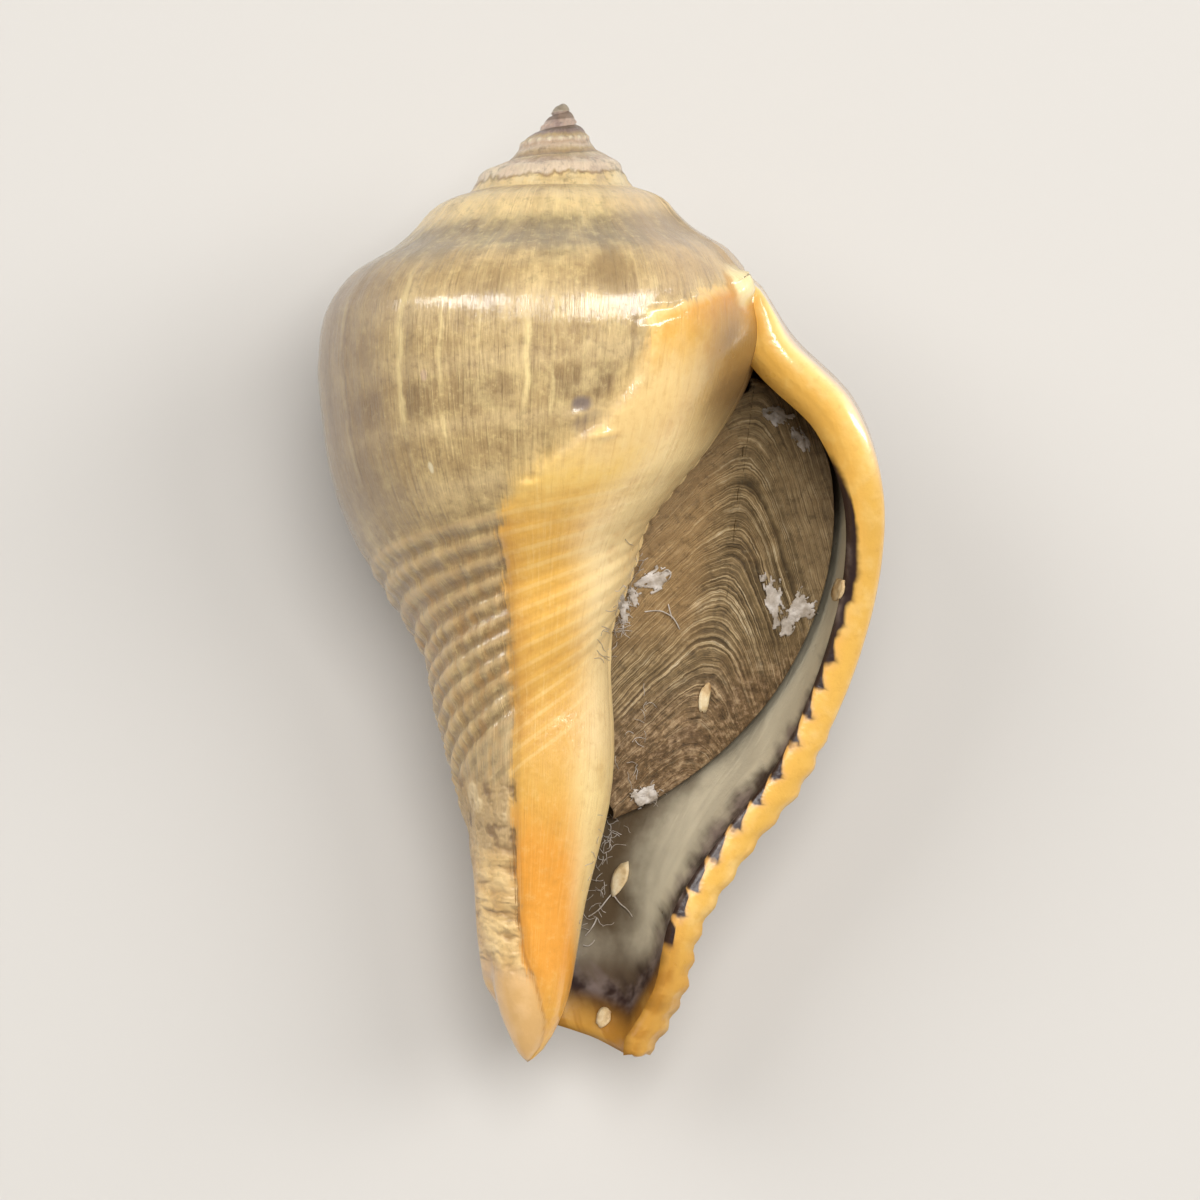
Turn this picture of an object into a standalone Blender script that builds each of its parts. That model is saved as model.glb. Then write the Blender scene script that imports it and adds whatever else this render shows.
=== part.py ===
"""A pear-shaped sea snail shell lying on its back, with the horny plate in its opening.

The shell grows around a coiling axis. Growth is given as an angle in degrees:
0 is the right side of the last whorl, negative angles are older, and one whorl is 360.
Every section is a radius and a depth below the apex, in millimetres, and the
shell is a loft of these sections. The finished solids are in metres.
"""
import math

import bmesh
import bpy
import numpy as np
from mathutils import Matrix, Vector

MM = 0.001

# Growth, one value for each half whorl, newest first: lip, left side, and so on inwards.
SUTURE_DEPTH = (12.0, 7.1, 6.0, 4.6, 3.45)
SHOULDER_DEPTH = (19.0, 13.1, 10.2, 8.8, 7.2)
SHOULDER_RADIUS = (20.3, 14.7, 11.9, 8.1, 6.7)
BASE_SIZE = (1.0, 0.75, 0.56, 0.42, 0.32)
# Older half whorls shrink by these ratios.
OLDER_SUTURE = 1.50
OLDER_SHOULDER_DEPTH = 1.36
OLDER_SHOULDER_RADIUS = 1.45
OLDER_BASE = 1.31
OLDEST_HALF_WHORL = 12

# Ramp between suture and shoulder: share of the depth, share of the radius, the same at the lip.
RAMP = ((0.12, 0.24, 0.18), (0.24, 0.35, 0.27), (0.40, 0.44, 0.38), (0.55, 0.54, 0.49),
        (0.70, 0.66, 0.63), (0.85, 0.83, 0.81))

# Body below the shoulder: depth under it at full size, radius over the shoulder's
# on the left side of the last whorl, and the same at the lip.
BODY = (
    (1.2, 1.057, 1.059),
    (3.9, 1.136, 1.135),
    (7.9, 1.164, 1.190),
    (14.5, 1.131, 1.191),
    (19.9, 1.072, 1.142),
    (25.2, 0.955, 1.059),
    (30.5, 0.768, 0.941),
    (35.9, 0.584, 0.755),
    (41.2, 0.519, 0.610),
    (46.5, 0.430, 0.565),
    (51.9, 0.342, 0.490),
    (57.2, 0.296, 0.330),
    (62.5, 0.270, 0.250),
    (67.9, 0.208, 0.200),
    (73.2, 0.085, 0.100),
    (75.9, 0.000, 0.000),
)

# Pillar around the axis: depth, radius. The tip is where its surface closes.
PILLAR = ((30.0, 3.0), (36.0, 4.2), (42.0, 4.75), (48.0, 5.2), (51.0, 5.0), (54.7, 4.3), (58.4, 3.5),
          (62.0, 3.0), (65.5, 2.45), (67.6, 1.75), (69.0, 1.1), (69.7, 0.65), (70.0, 0.25))
PILLAR_BLEND = 0.35
PILLAR_REACH = 6.0
TIP_DEPTH = 69.9
TIP_CLOSE = 4.0
PROFILE_END = 81.9

# End of the canal and, for older growth, of the ridge that it leaves: growth angle, depth.
CANAL_END = ((-720.0, 40.0), (-540.0, 47.0), (-340.0, 56.0), (-270.0, 59.5), (-180.0, 63.0), (-125.0, 65.8),
             (-100.0, 66.9), (-70.0, 67.6), (-45.0, 68.4), (-20.0, 69.5), (-6.0, 69.6), (18.0, 70.6))
CANAL_JOIN = -125.0
RIDGE_STEP = 1.6
RIDGE_FADE = 3.2

# Lip: the growth angle where it stands, and how far it leans back from the suture (0) to the canal (1).
# The wall is thicker at the lip, and its edge is rounded.
LIP_ANGLE = 18.0
LIP_LEAN = ((0.0, 0.0), (0.20, -4.0), (0.40, -13.0), (0.70, -17.5), (0.90, -20.5), (0.96, -25.0),
            (1.0, -33.0))
LEAN_START = -95.0
WALL = 1.25
LIP_EXTRA = 1.15
LIP_SPREAD = 6.0
LIP_ROUND = 1.0
RIM_WALL = 0.9
RIM_TOP = 56.0
RIM_CHANGE = 10.0
ROUND_START = 0.6
ROUND_END = 0.06

# Body chamber: how far back it goes, its corner under the suture, and the depth of its crease at the pillar
CHAMBER_TURN = 205.0
CORNER_DEPTH = 1.5
CORNER_OPEN = 2.2
CREASE_OPEN = 4.0
MIN_GAP = 0.3
EDGE_SMOOTHING = 6
CREASE = ((-720.0, 33.0), (-540.0, 36.0), (-300.0, 41.0), (-187.0, 45.0), (-170.0, 48.0), (-155.0, 52.0),
          (-140.0, 59.0), (-125.0, 65.8), (-95.0, 74.0), (18.0, 95.0))

# Spiral cords of the base, in depths at full size
CORD_TOP = 43.7
CORD_STEP = 2.1
CORD_COUNT = 14
ROW_CORDS = 11
CORD_HEIGHT = 0.16
CORD_FADE = 1.5
RELIEF_START = 1.0

# Callus on the inner lip: growth angle and depth of its edge, and the far corners that close its outline
CALLUS_EDGE = ((-338.0, 13.0), (-321.0, 13.7), (-298.0, 15.8), (-294.0, 20.3), (-285.0, 23.5), (-262.0, 27.5),
               (-251.0, 32.0), (-250.0, 40.0), (-250.0, 50.0), (-250.0, 58.0), (-258.0, 62.0), (-290.0, 66.0),
               (-330.0, 69.5))
CALLUS_FAR = ((-700.0, 90.0), (-700.0, 0.0), (-338.0, 0.0))
CALLUS_THICK = 0.35
CALLUS_SOFT = 1.4
CALLUS_PAD = 0.9
PAD_DEPTH = 18.5
PAD_ANGLE = -352.0
PAD_HEIGHT = 4.0
PAD_SPREAD = 30.0

# Operculum: depth and x of the edge beside the outer wall, then the heights of that edge and the other one
PLATE_SIDE = ((19.3, 14.6), (20.0, 16.4), (21.1, 18.0), (24.7, 20.4), (28.3, 21.1), (32.7, 21.0),
              (38.6, 19.4), (44.6, 15.9), (48.8, 11.7), (51.5, 7.7), (52.5, 5.6))
PLATE_SIDE_HEIGHT = ((19.3, -5.8), (21.1, -6.4), (24.7, -5.7), (28.3, -5.1), (32.7, -4.9), (38.6, -5.5),
                     (44.6, -6.9), (48.8, -7.5), (52.5, -7.0))
PLATE_INNER_HEIGHT = ((19.3, -5.2), (24.7, -3.6), (38.6, -3.2), (46.0, -3.4), (52.5, -6.4))
PLATE_GAP = 0.45
PLATE_DISH = 0.5
PLATE_EDGE = 0.3
PLATE_THICK = 0.9
PLATE_MIDDLE = 0.55
PLATE_TOP_ROUND = 3.0
PLATE_END_ROUND = 4.0
PLATE_POINTS = 48
PLATE_RINGS = 4

# Mesh: columns in one whorl, rows in each band from the suture to the tip.
APEX_ANGLE = -1782.0
APEX_RADIUS = 0.12
TABLE_STEP = 0.1
COLUMNS = 48
RAMP_ROWS = 10
EDGE_ROWS = 3
UPPER_ROWS = 9
END_ROWS = 4
TIP_ROWS = 5
DENSE = 500
SKIN_SHARE = 0.62
TIP_POINT = 0.08
APEX_POINT = 0.12
CHAMBER_END = 1.5

# Search for the plate's inner edge: first and least x, steps; and smoothing of its outline.
PLATE_START = 8.0
PLATE_NEAREST = 2.0
PLATE_STEPS = 20
PLATE_DENSE = 200
PLATE_SMOOTHING = 12

# Rest: the shell lies on its back, its canal tipped down, on a small worn flat spot.
REST_TIP = 6.0
WORN_DEPTH = 0.6

# Colours and roughness
SHELL_COLOUR = (0.56, 0.41, 0.24)
SHELL_ROUGHNESS = 0.35
PLATE_COLOUR = (0.075, 0.035, 0.018)
PLATE_ROUGHNESS = 0.55


def smoothstep(x):
    x = np.clip(x, 0.0, 1.0)
    return x * x * (3.0 - 2.0 * x)


def smooth_curve(xs, ys, x):
    """Cubic curve through points, with the slope at each point taken from its neighbours."""
    xs = np.asarray(xs, float)
    ys = np.asarray(ys, float)
    step = np.diff(xs)
    rise = np.diff(ys) / step
    slope = np.empty_like(ys)
    slope[1:-1] = (rise[:-1] * step[1:] + rise[1:] * step[:-1]) / (step[:-1] + step[1:])
    slope[0] = rise[0]
    slope[-1] = rise[-1]
    x = np.clip(x, xs[0], xs[-1])
    i = np.clip(np.searchsorted(xs, x, side="right") - 1, 0, len(xs) - 2)
    h = step[i]
    t = (x - xs[i]) / h
    return ((1 + 2 * t) * (1 - t) ** 2 * ys[i] + t * (1 - t) ** 2 * h * slope[i]
            + t * t * (3 - 2 * t) * ys[i + 1] + t * t * (t - 1) * h * slope[i + 1])


def by_age(newest_first, older_ratio, angle):
    """Value at a growth angle, from one value for each half whorl."""
    values = list(newest_first)
    while len(values) <= OLDEST_HALF_WHORL:
        values.append(values[-1] / older_ratio)
    values.insert(0, values[0] ** 2 / values[1])
    nodes = 1.0 - np.arange(len(values))
    return np.exp(smooth_curve(nodes[::-1], np.log(values[::-1]), np.asarray(angle) / 180.0))


def suture_depth(angle):
    return by_age(SUTURE_DEPTH, OLDER_SUTURE, angle)


def base_size(angle):
    return by_age(BASE_SIZE, OLDER_BASE, angle)


def along(table, x):
    """Smooth value of a two-column table."""
    return smooth_curve([a for a, _ in table], [b for _, b in table], x)


def cord_relief(angle, depth):
    """Height of the spiral cords, which follow the growth of the base."""
    age = depth / base_size(angle)
    place = (age - CORD_TOP) / CORD_STEP
    fade = smoothstep(place / CORD_FADE) * smoothstep((CORD_COUNT - place) / CORD_FADE)
    return CORD_HEIGHT * fade * np.cos(2 * math.pi * place)


def callus_relief(angle, depth, radius):
    """Thickness of the callus, zero outside its edge."""
    edge = np.array(CALLUS_EDGE)
    inside = np.zeros(np.shape(depth), bool)
    closed = np.vstack([edge, CALLUS_FAR])
    for (a0, d0), (a1, d1) in zip(closed, np.roll(closed, -1, axis=0)):
        if d0 != d1:
            crosses = (d0 > depth) != (d1 > depth)
            inside ^= crosses & (angle < a0 + (depth - d0) * (a1 - a0) / (d1 - d0))
    distance = np.full(np.shape(depth), np.inf)
    for (a0, d0), (a1, d1) in zip(edge[:-1], edge[1:]):
        run_x = math.radians(a1 - a0) * radius
        run_y = d1 - d0
        off_x = math.radians(angle - a0) * radius
        off_y = depth - d0
        share = np.clip((off_x * run_x + off_y * run_y) / (run_x ** 2 + run_y ** 2), 0.0, 1.0)
        distance = np.minimum(distance, np.hypot(off_x - share * run_x, off_y - share * run_y))
    pad = np.exp(-((depth - PAD_DEPTH) / PAD_HEIGHT) ** 2 - ((angle - PAD_ANGLE) / PAD_SPREAD) ** 2)
    return np.where(inside, (CALLUS_THICK + CALLUS_PAD * pad) * smoothstep(distance / CALLUS_SOFT), 0.0)


class Growth:
    """Sections of the shell at equal steps of growth, oldest first."""

    def __init__(self, columns):
        self.step = 360.0 / columns
        self.columns = columns
        older_turns = int(round((LIP_ANGLE - APEX_ANGLE) / self.step))
        self.angles = LIP_ANGLE - self.step * np.arange(older_turns, -1, -1)
        self.depths = np.arange(0.0, TIP_DEPTH + TABLE_STEP, TABLE_STEP)
        self.curves = []
        self.plain = []
        for i, angle in enumerate(self.angles):
            older = self.curves[i - columns] if i >= columns else None
            radius, depth = self.section(angle, older)
            self.plain.append((radius, depth))
            bump = cord_relief(angle, depth) + callus_relief(angle, depth, radius)
            bump *= smoothstep((depth - depth[0]) / RELIEF_START)
            self.curves.append((radius + bump, depth))
        self.table = np.array([np.interp(self.depths, d, r) for r, d in self.curves])

    def section(self, angle, older):
        """Radius and depth along one section, from the suture to the end of the canal or the tip."""
        top = float(suture_depth(angle))
        edge = APEX_RADIUS if older is None else float(np.interp(top, older[1], older[0]))
        shoulder_r = float(by_age(SHOULDER_RADIUS, OLDER_SHOULDER_RADIUS, angle))
        shoulder_d = float(by_age(SHOULDER_DEPTH, OLDER_SHOULDER_DEPTH, angle))
        size = float(base_size(angle))
        near_lip = float(smoothstep((angle + 180.0) / 180.0))
        points = [(edge, top)]
        points += [(edge + (left + near_lip * (lip - left)) * (shoulder_r - edge),
                    top + share * (shoulder_d - top)) for share, left, lip in RAMP]
        points.append((shoulder_r, shoulder_d))
        points += [(shoulder_r * (left + near_lip * (lip - left)), shoulder_d + size * under)
                   for under, left, lip in BODY]
        points = np.array([p for p in points if p[1] < PROFILE_END] + [(0.0, PROFILE_END)])
        chord = np.append(0.0, np.cumsum(np.hypot(*np.diff(points, axis=0).T)))
        place = np.linspace(0.0, chord[-1], DENSE)
        radius = smooth_curve(chord, points[:, 0], place)
        depth = smooth_curve(chord, points[:, 1], place)
        depth = np.maximum.accumulate(depth + np.arange(DENSE) * 1e-6)
        if angle < CANAL_JOIN:
            radius = radius * (1.0 - smoothstep((depth - float(along(CANAL_END, angle))) / RIDGE_FADE))
        pillar = along(PILLAR, depth)
        reach = smoothstep((depth - PILLAR[0][0]) / PILLAR_REACH)
        closing = PILLAR_BLEND * smoothstep((depth - TIP_DEPTH) / TIP_CLOSE + 1.0)
        blended = 0.5 * (radius + pillar + np.sqrt((radius - pillar) ** 2 + PILLAR_BLEND ** 2) - closing)
        radius = radius + reach * (blended - radius)
        return radius, depth

    def inner(self, angle, depth):
        """Radius of the older growth at this angle and depth."""
        place = (angle - self.angles[0]) / self.step
        i = np.clip(np.floor(place).astype(int), 0, len(self.angles) - 2)
        share = place - i
        level = np.clip(depth / TABLE_STEP, 0.0, len(self.depths) - 1.001)
        k = np.floor(level).astype(int)
        part = level - k
        low = self.table[i, k] * (1 - part) + self.table[i, k + 1] * part
        high = self.table[i + 1, k] * (1 - part) + self.table[i + 1, k + 1] * part
        return low * (1 - share) + high * share


def spaced(curve, start, end, count):
    """Depths of count + 1 points at equal distances along a section."""
    radius, depth = curve
    level = np.append(start, np.append(depth[(depth > start) & (depth < end)], end))
    out = np.interp(level, depth, radius)
    run = np.append(0.0, np.cumsum(np.hypot(np.diff(level), np.diff(out))))
    return np.interp(np.linspace(0.0, run[-1], count + 1), run, level)


class ShellSurface:
    """Closed skin of the shell: outside, inner wall, body chamber, lip and canal edge.

    A vertex has a key: E for the spiral sheet, I for the chamber's outer wall,
    L for the lip and M for the edge of the canal.
    """

    def __init__(self, growth, ramp, edge, upper, cord, end, tip):
        self.g = growth
        self.n = growth.columns
        self.last = len(growth.angles) - 1
        self.bands = (ramp, edge, upper, cord, end, edge, tip)
        rows = np.append(0, np.cumsum(self.bands))
        self.next_row, self.corner_row = rows[1], rows[2]
        self.margin_row, self.ridge_row, self.tip_row = rows[5], rows[6], rows[7]
        self.edge = edge
        self.seam = self.last - self.n
        self.join = self.column(CANAL_JOIN)
        self.deep = self.column(LIP_ANGLE - CHAMBER_TURN)
        self.points = {}
        self.faces = []
        self.outside()
        self.inner_wall()
        self.lean_lip()
        self.chamber()
        self.edges()
        self.stitch()

    def column(self, angle):
        """Number of the section nearest to a growth angle."""
        return int(round((angle - self.g.angles[0]) / self.g.step))

    def breaks(self, i):
        """Depths where the bands of one full section begin and end."""
        angle = self.g.angles[i]
        size = float(base_size(angle))
        seam_size = float(base_size(self.g.angles[self.seam]))
        top = float(suture_depth(angle))
        later = float(suture_depth(LIP_ANGLE)) * size / seam_size
        corner = later + CORNER_DEPTH * size / seam_size
        end = float(along(CANAL_END, angle))
        return (top, later, corner, CORD_TOP * size, (CORD_TOP + ROW_CORDS * CORD_STEP) * size,
                end, end + RIDGE_STEP, TIP_DEPTH)

    def outside(self):
        """Rows of the sheet that is seen from outside, spire first."""
        self.rows = {}
        for i in range(self.seam):
            angle = self.g.angles[i]
            self.rows[i] = spaced(self.g.curves[i], float(suture_depth(angle)),
                                  float(suture_depth(angle + 360.0)), self.bands[0])
        for i in range(self.seam, self.last + 1):
            stops = self.breaks(i)
            parts = [np.array([stops[0]])]
            for band, count in enumerate(self.bands):
                if band == 3:
                    level = np.linspace(stops[3], stops[4], count + 1)
                else:
                    level = spaced(self.g.curves[i], stops[band], stops[band + 1], count)
                parts.append(level[1:])
            self.rows[i] = np.concatenate(parts)
        self.radius = {}
        self.bare = {}
        for i, level in self.rows.items():
            self.radius[i] = np.interp(level, self.g.curves[i][1], self.g.curves[i][0])
            self.bare[i] = np.interp(level, self.g.plain[i][1], self.g.plain[i][0])

    def inner_wall(self):
        """Rows of the older whorl that shows in the body chamber, and of the pillar."""
        seam = self.rows[self.seam]
        share = seam[self.corner_row:self.ridge_row + 1] - seam[self.corner_row]
        share /= share[-1]
        self.inner_rows = {}
        for i in range(self.deep - self.n, self.seam):
            later = self.g.angles[i] + 360.0
            top = float(suture_depth(later)) + CORNER_DEPTH
            if i < self.join - self.n:
                bottom = float(along(CREASE, later))
                tail = []
            else:
                step = (i - (self.join - self.n)) / (self.seam - (self.join - self.n))
                bottom = float(along(CREASE, CANAL_JOIN)) * (1 - step) + seam[self.ridge_row] * step
                tail = list(spaced(self.g.curves[i], bottom, TIP_DEPTH, self.bands[6])[1:])
            self.inner_rows[i] = np.append(top + share * (bottom - top), tail)

    def lean_lip(self):
        """Slide the newest growth back, more towards the canal, so that the lip leans."""
        edge = self.rows[self.last][:self.margin_row + 1]
        lean = along(LIP_LEAN, (edge - edge[0]) / (edge[-1] - edge[0]))
        count = self.margin_row + 1
        columns = np.arange(self.seam, self.last + 1)
        grid = {}
        for name, source in (("depth", self.rows), ("radius", self.radius), ("bare", self.bare)):
            grid[name] = np.array([source[i][:count] for i in columns])
        self.sheet = {}
        for i in columns:
            share = float(smoothstep((self.g.angles[i] - LEAN_START) / (LIP_ANGLE - LEAN_START)))
            place = i - self.seam + share * lean / self.g.step
            low = np.clip(np.floor(place).astype(int), 0, len(columns) - 2)
            part = place - low
            row = np.arange(count)
            entry = {name: grid[name][low, row] * (1 - part) + grid[name][low + 1, row] * part
                     for name in grid}
            entry["angle"] = self.g.angles[i] + share * lean
            self.sheet[i] = entry

    def chamber(self):
        """Outer wall of the body chamber, a wall's thickness inside the outside."""
        self.inside = {}
        for i in range(self.deep, self.last + 1):
            s = self.sheet[i]
            angle, radius, depth = s["angle"], s["bare"], s["depth"]
            behind = (self.last - i) * self.g.step
            wall = WALL + LIP_EXTRA * math.exp(-behind / LIP_SPREAD)
            canal = smoothstep((depth - RIM_TOP) / RIM_CHANGE)
            wall = wall + (RIM_WALL - WALL) * canal
            dr = np.gradient(radius)
            dd = np.gradient(depth)
            size = np.hypot(dr, dd)
            off_r = radius - wall * dd / size
            off_d = np.maximum.accumulate(depth + wall * dr / size)
            top = depth[0] + CORNER_DEPTH
            crease = float(along(CREASE, self.g.angles[i]))
            bottom = crease if i < self.join else depth[-1]
            level = top + (depth - depth[0]) / (depth[-1] - depth[0]) * (bottom - top)
            pillar = self.g.inner(angle - 360.0, level)
            gap = np.maximum(np.interp(level, off_d, off_r) - pillar, MIN_GAP)
            opening = self.round_end((level - top) / CORNER_OPEN)
            opening = opening * self.round_end((crease - level) / CREASE_OPEN)
            self.inside[i] = {"angle": angle, "depth": level, "radius": pillar + gap * opening}

    @staticmethod
    def round_end(x):
        """Quarter circle from 0 to 1."""
        x = np.clip(x, 0.0, 1.0)
        return np.sqrt(x * (2.0 - x))

    @staticmethod
    def place(angle, radius, depth):
        """Point in space, with the apex up along y and the opening towards z."""
        a = np.radians(angle)
        return np.array([radius * np.cos(a), -depth, radius * np.sin(a)])

    def spiral_point(self, i, j):
        """Point on the spiral sheet: outside, leaning lip, or inner wall."""
        if i < self.seam and j > self.next_row:
            depth = self.inner_rows[i][j - self.corner_row]
            return self.place(self.g.angles[i], np.interp(depth, *self.g.curves[i][::-1]), depth)
        if i > self.seam and j <= self.margin_row:
            s = self.sheet[i]
            return self.place(s["angle"][j], s["radius"][j], s["depth"][j])
        return self.place(self.g.angles[i], self.radius[i][j], self.rows[i][j])

    def key(self, kind, i, j):
        """The one key of a vertex that several sheets share."""
        if kind == "M":
            if j == 0:
                return self.key("E", i, self.margin_row)
            if j == self.edge:
                return self.key("I", i, self.margin_row)
            if i == self.last:
                return ("L", self.margin_row, j)
            if i == self.join:
                return ("E", i, self.margin_row + j)
        if kind == "L":
            if j == 0:
                return self.key("E", self.last, i)
            if j == self.edge:
                return self.key("I", self.last, i)
            if i == 0:
                return ("E", self.seam, self.next_row + j)
        if kind == "I":
            if j == 0:
                return ("E", i - self.n, self.corner_row)
            if j == self.margin_row and i <= self.join:
                return ("E", i - self.n, self.ridge_row)
        if kind == "E":
            if j == self.next_row and i <= self.seam:
                return ("E", i + self.n, 0)
            if i == self.join and j >= self.ridge_row:
                return ("E", i - self.n, j)
        return (kind, i, j)

    def edges(self):
        """Rounded edge of the lip and of the canal, from the suture to the join."""
        line = [("L", j) for j in range(self.margin_row + 1)]
        line += [("M", i) for i in range(self.last - 1, self.join - 1, -1)]
        outer, inner = [], []
        for kind, k in line:
            i, j = (self.last, k) if kind == "L" else (k, self.margin_row)
            outer.append(self.spiral_point(i, j))
            s = self.inside[i]
            inner.append(self.place(s["angle"][j], s["radius"][j], s["depth"][j]))
        outer, inner = np.array(outer), np.array(inner)
        middle = 0.5 * (outer + inner)
        run = np.gradient(middle, axis=0)
        across = outer - inner
        for _ in range(EDGE_SMOOTHING):
            run[1:-1] = 0.25 * run[:-2] + 0.5 * run[1:-1] + 0.25 * run[2:]
        out = np.cross(run, across)
        out /= np.linalg.norm(out, axis=1)[:, None]
        thick = np.linalg.norm(across, axis=1)
        from_suture = np.arange(len(line))
        size = np.minimum(LIP_ROUND, 0.5 * thick)
        size *= smoothstep(from_suture / (self.bands[0] * ROUND_START))
        size *= smoothstep(from_suture[::-1] / (self.n * ROUND_END))
        for s in range(1, self.edge):
            turn = math.pi * s / self.edge
            ring = middle + 0.5 * across * math.cos(turn) + out * (size * math.sin(turn))[:, None]
            for (kind, k), point in zip(line, ring):
                self.points[self.key(kind, k, s)] = point
        for s in range(self.edge + 1):
            share = s / self.edge
            top = self.rows[self.seam][self.next_row + s]
            self.points[("E", self.seam, self.next_row + s)] = self.place(
                self.g.angles[self.seam], np.interp(top, *self.g.curves[self.seam][::-1]), top)
            flat = outer[-1] * (1 - share) + inner[-1] * share
            self.points[self.key("E", self.join, self.margin_row + s)] = flat

    def vertex(self, kind, i, j):
        """Key of a vertex, whose point is made when it is first asked for."""
        key = self.key(kind, i, j)
        if key not in self.points:
            if key[0] == "E":
                self.points[key] = self.spiral_point(key[1], key[2])
            else:
                s = self.inside[key[1]]
                self.points[key] = self.place(s["angle"][key[2]], s["radius"][key[2]], s["depth"][key[2]])
        return key

    def quad(self, *corners):
        self.faces.append([self.vertex(*c) for c in corners])

    def stitch(self):
        """Join the sheets' vertices into faces, and close the tip, the apex and the chamber's deep end."""
        n, last, seam, join, deep = self.n, self.last, self.seam, self.join, self.deep
        for i in range(last):
            if i < seam:
                bands = [(0, self.next_row)]
                if deep - n <= i:
                    bottom = self.ridge_row if i < join - n else self.tip_row
                    bands.append((self.corner_row, bottom))
            else:
                bands = [(0, self.tip_row if i < join else self.margin_row)]
            for start, end in bands:
                for j in range(start, end):
                    self.quad(("E", i, j), ("E", i + 1, j), ("E", i + 1, j + 1), ("E", i, j + 1))
        for i in range(deep, last):
            for j in range(self.margin_row):
                self.quad(("I", i, j), ("I", i, j + 1), ("I", i + 1, j + 1), ("I", i + 1, j))
        for j in range(self.margin_row):
            for s in range(self.edge):
                self.quad(("L", j, s), ("L", j, s + 1), ("L", j + 1, s + 1), ("L", j + 1, s))
        for i in range(join, last):
            for s in range(self.edge):
                self.quad(("M", i, s), ("M", i + 1, s), ("M", i + 1, s + 1), ("M", i, s + 1))
        self.cap([self.vertex("E", i, self.tip_row) for i in range(join - n, join + 1)], (0, -TIP_POINT, 0))
        first = [self.vertex("E", i, 0) for i in range(n, -1, -1)]
        first += [self.vertex("E", 0, j) for j in range(1, self.next_row + 1)]
        self.cap(first, (0, APEX_POINT, 0))
        end = [self.vertex("E", deep - n, j) for j in range(self.corner_row, self.ridge_row + 1)]
        end += [self.vertex("I", deep, j) for j in range(self.margin_row, -1, -1)]
        self.cap(end, self.place(self.g.angles[deep] - 90.0, CHAMBER_END, 0.0))

    def cap(self, loop, push):
        """Close a loop of vertices with a fan, its middle pushed out."""
        if loop[0] == loop[-1]:
            loop = loop[:-1]
        middle = ("cap", len(self.faces), 0)
        self.points[middle] = np.mean([self.points[k] for k in loop], axis=0) + np.array(push)
        for a, b in zip(loop, loop[1:] + loop[:1]):
            if a != b:
                self.faces.append([a, b, middle])


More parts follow.
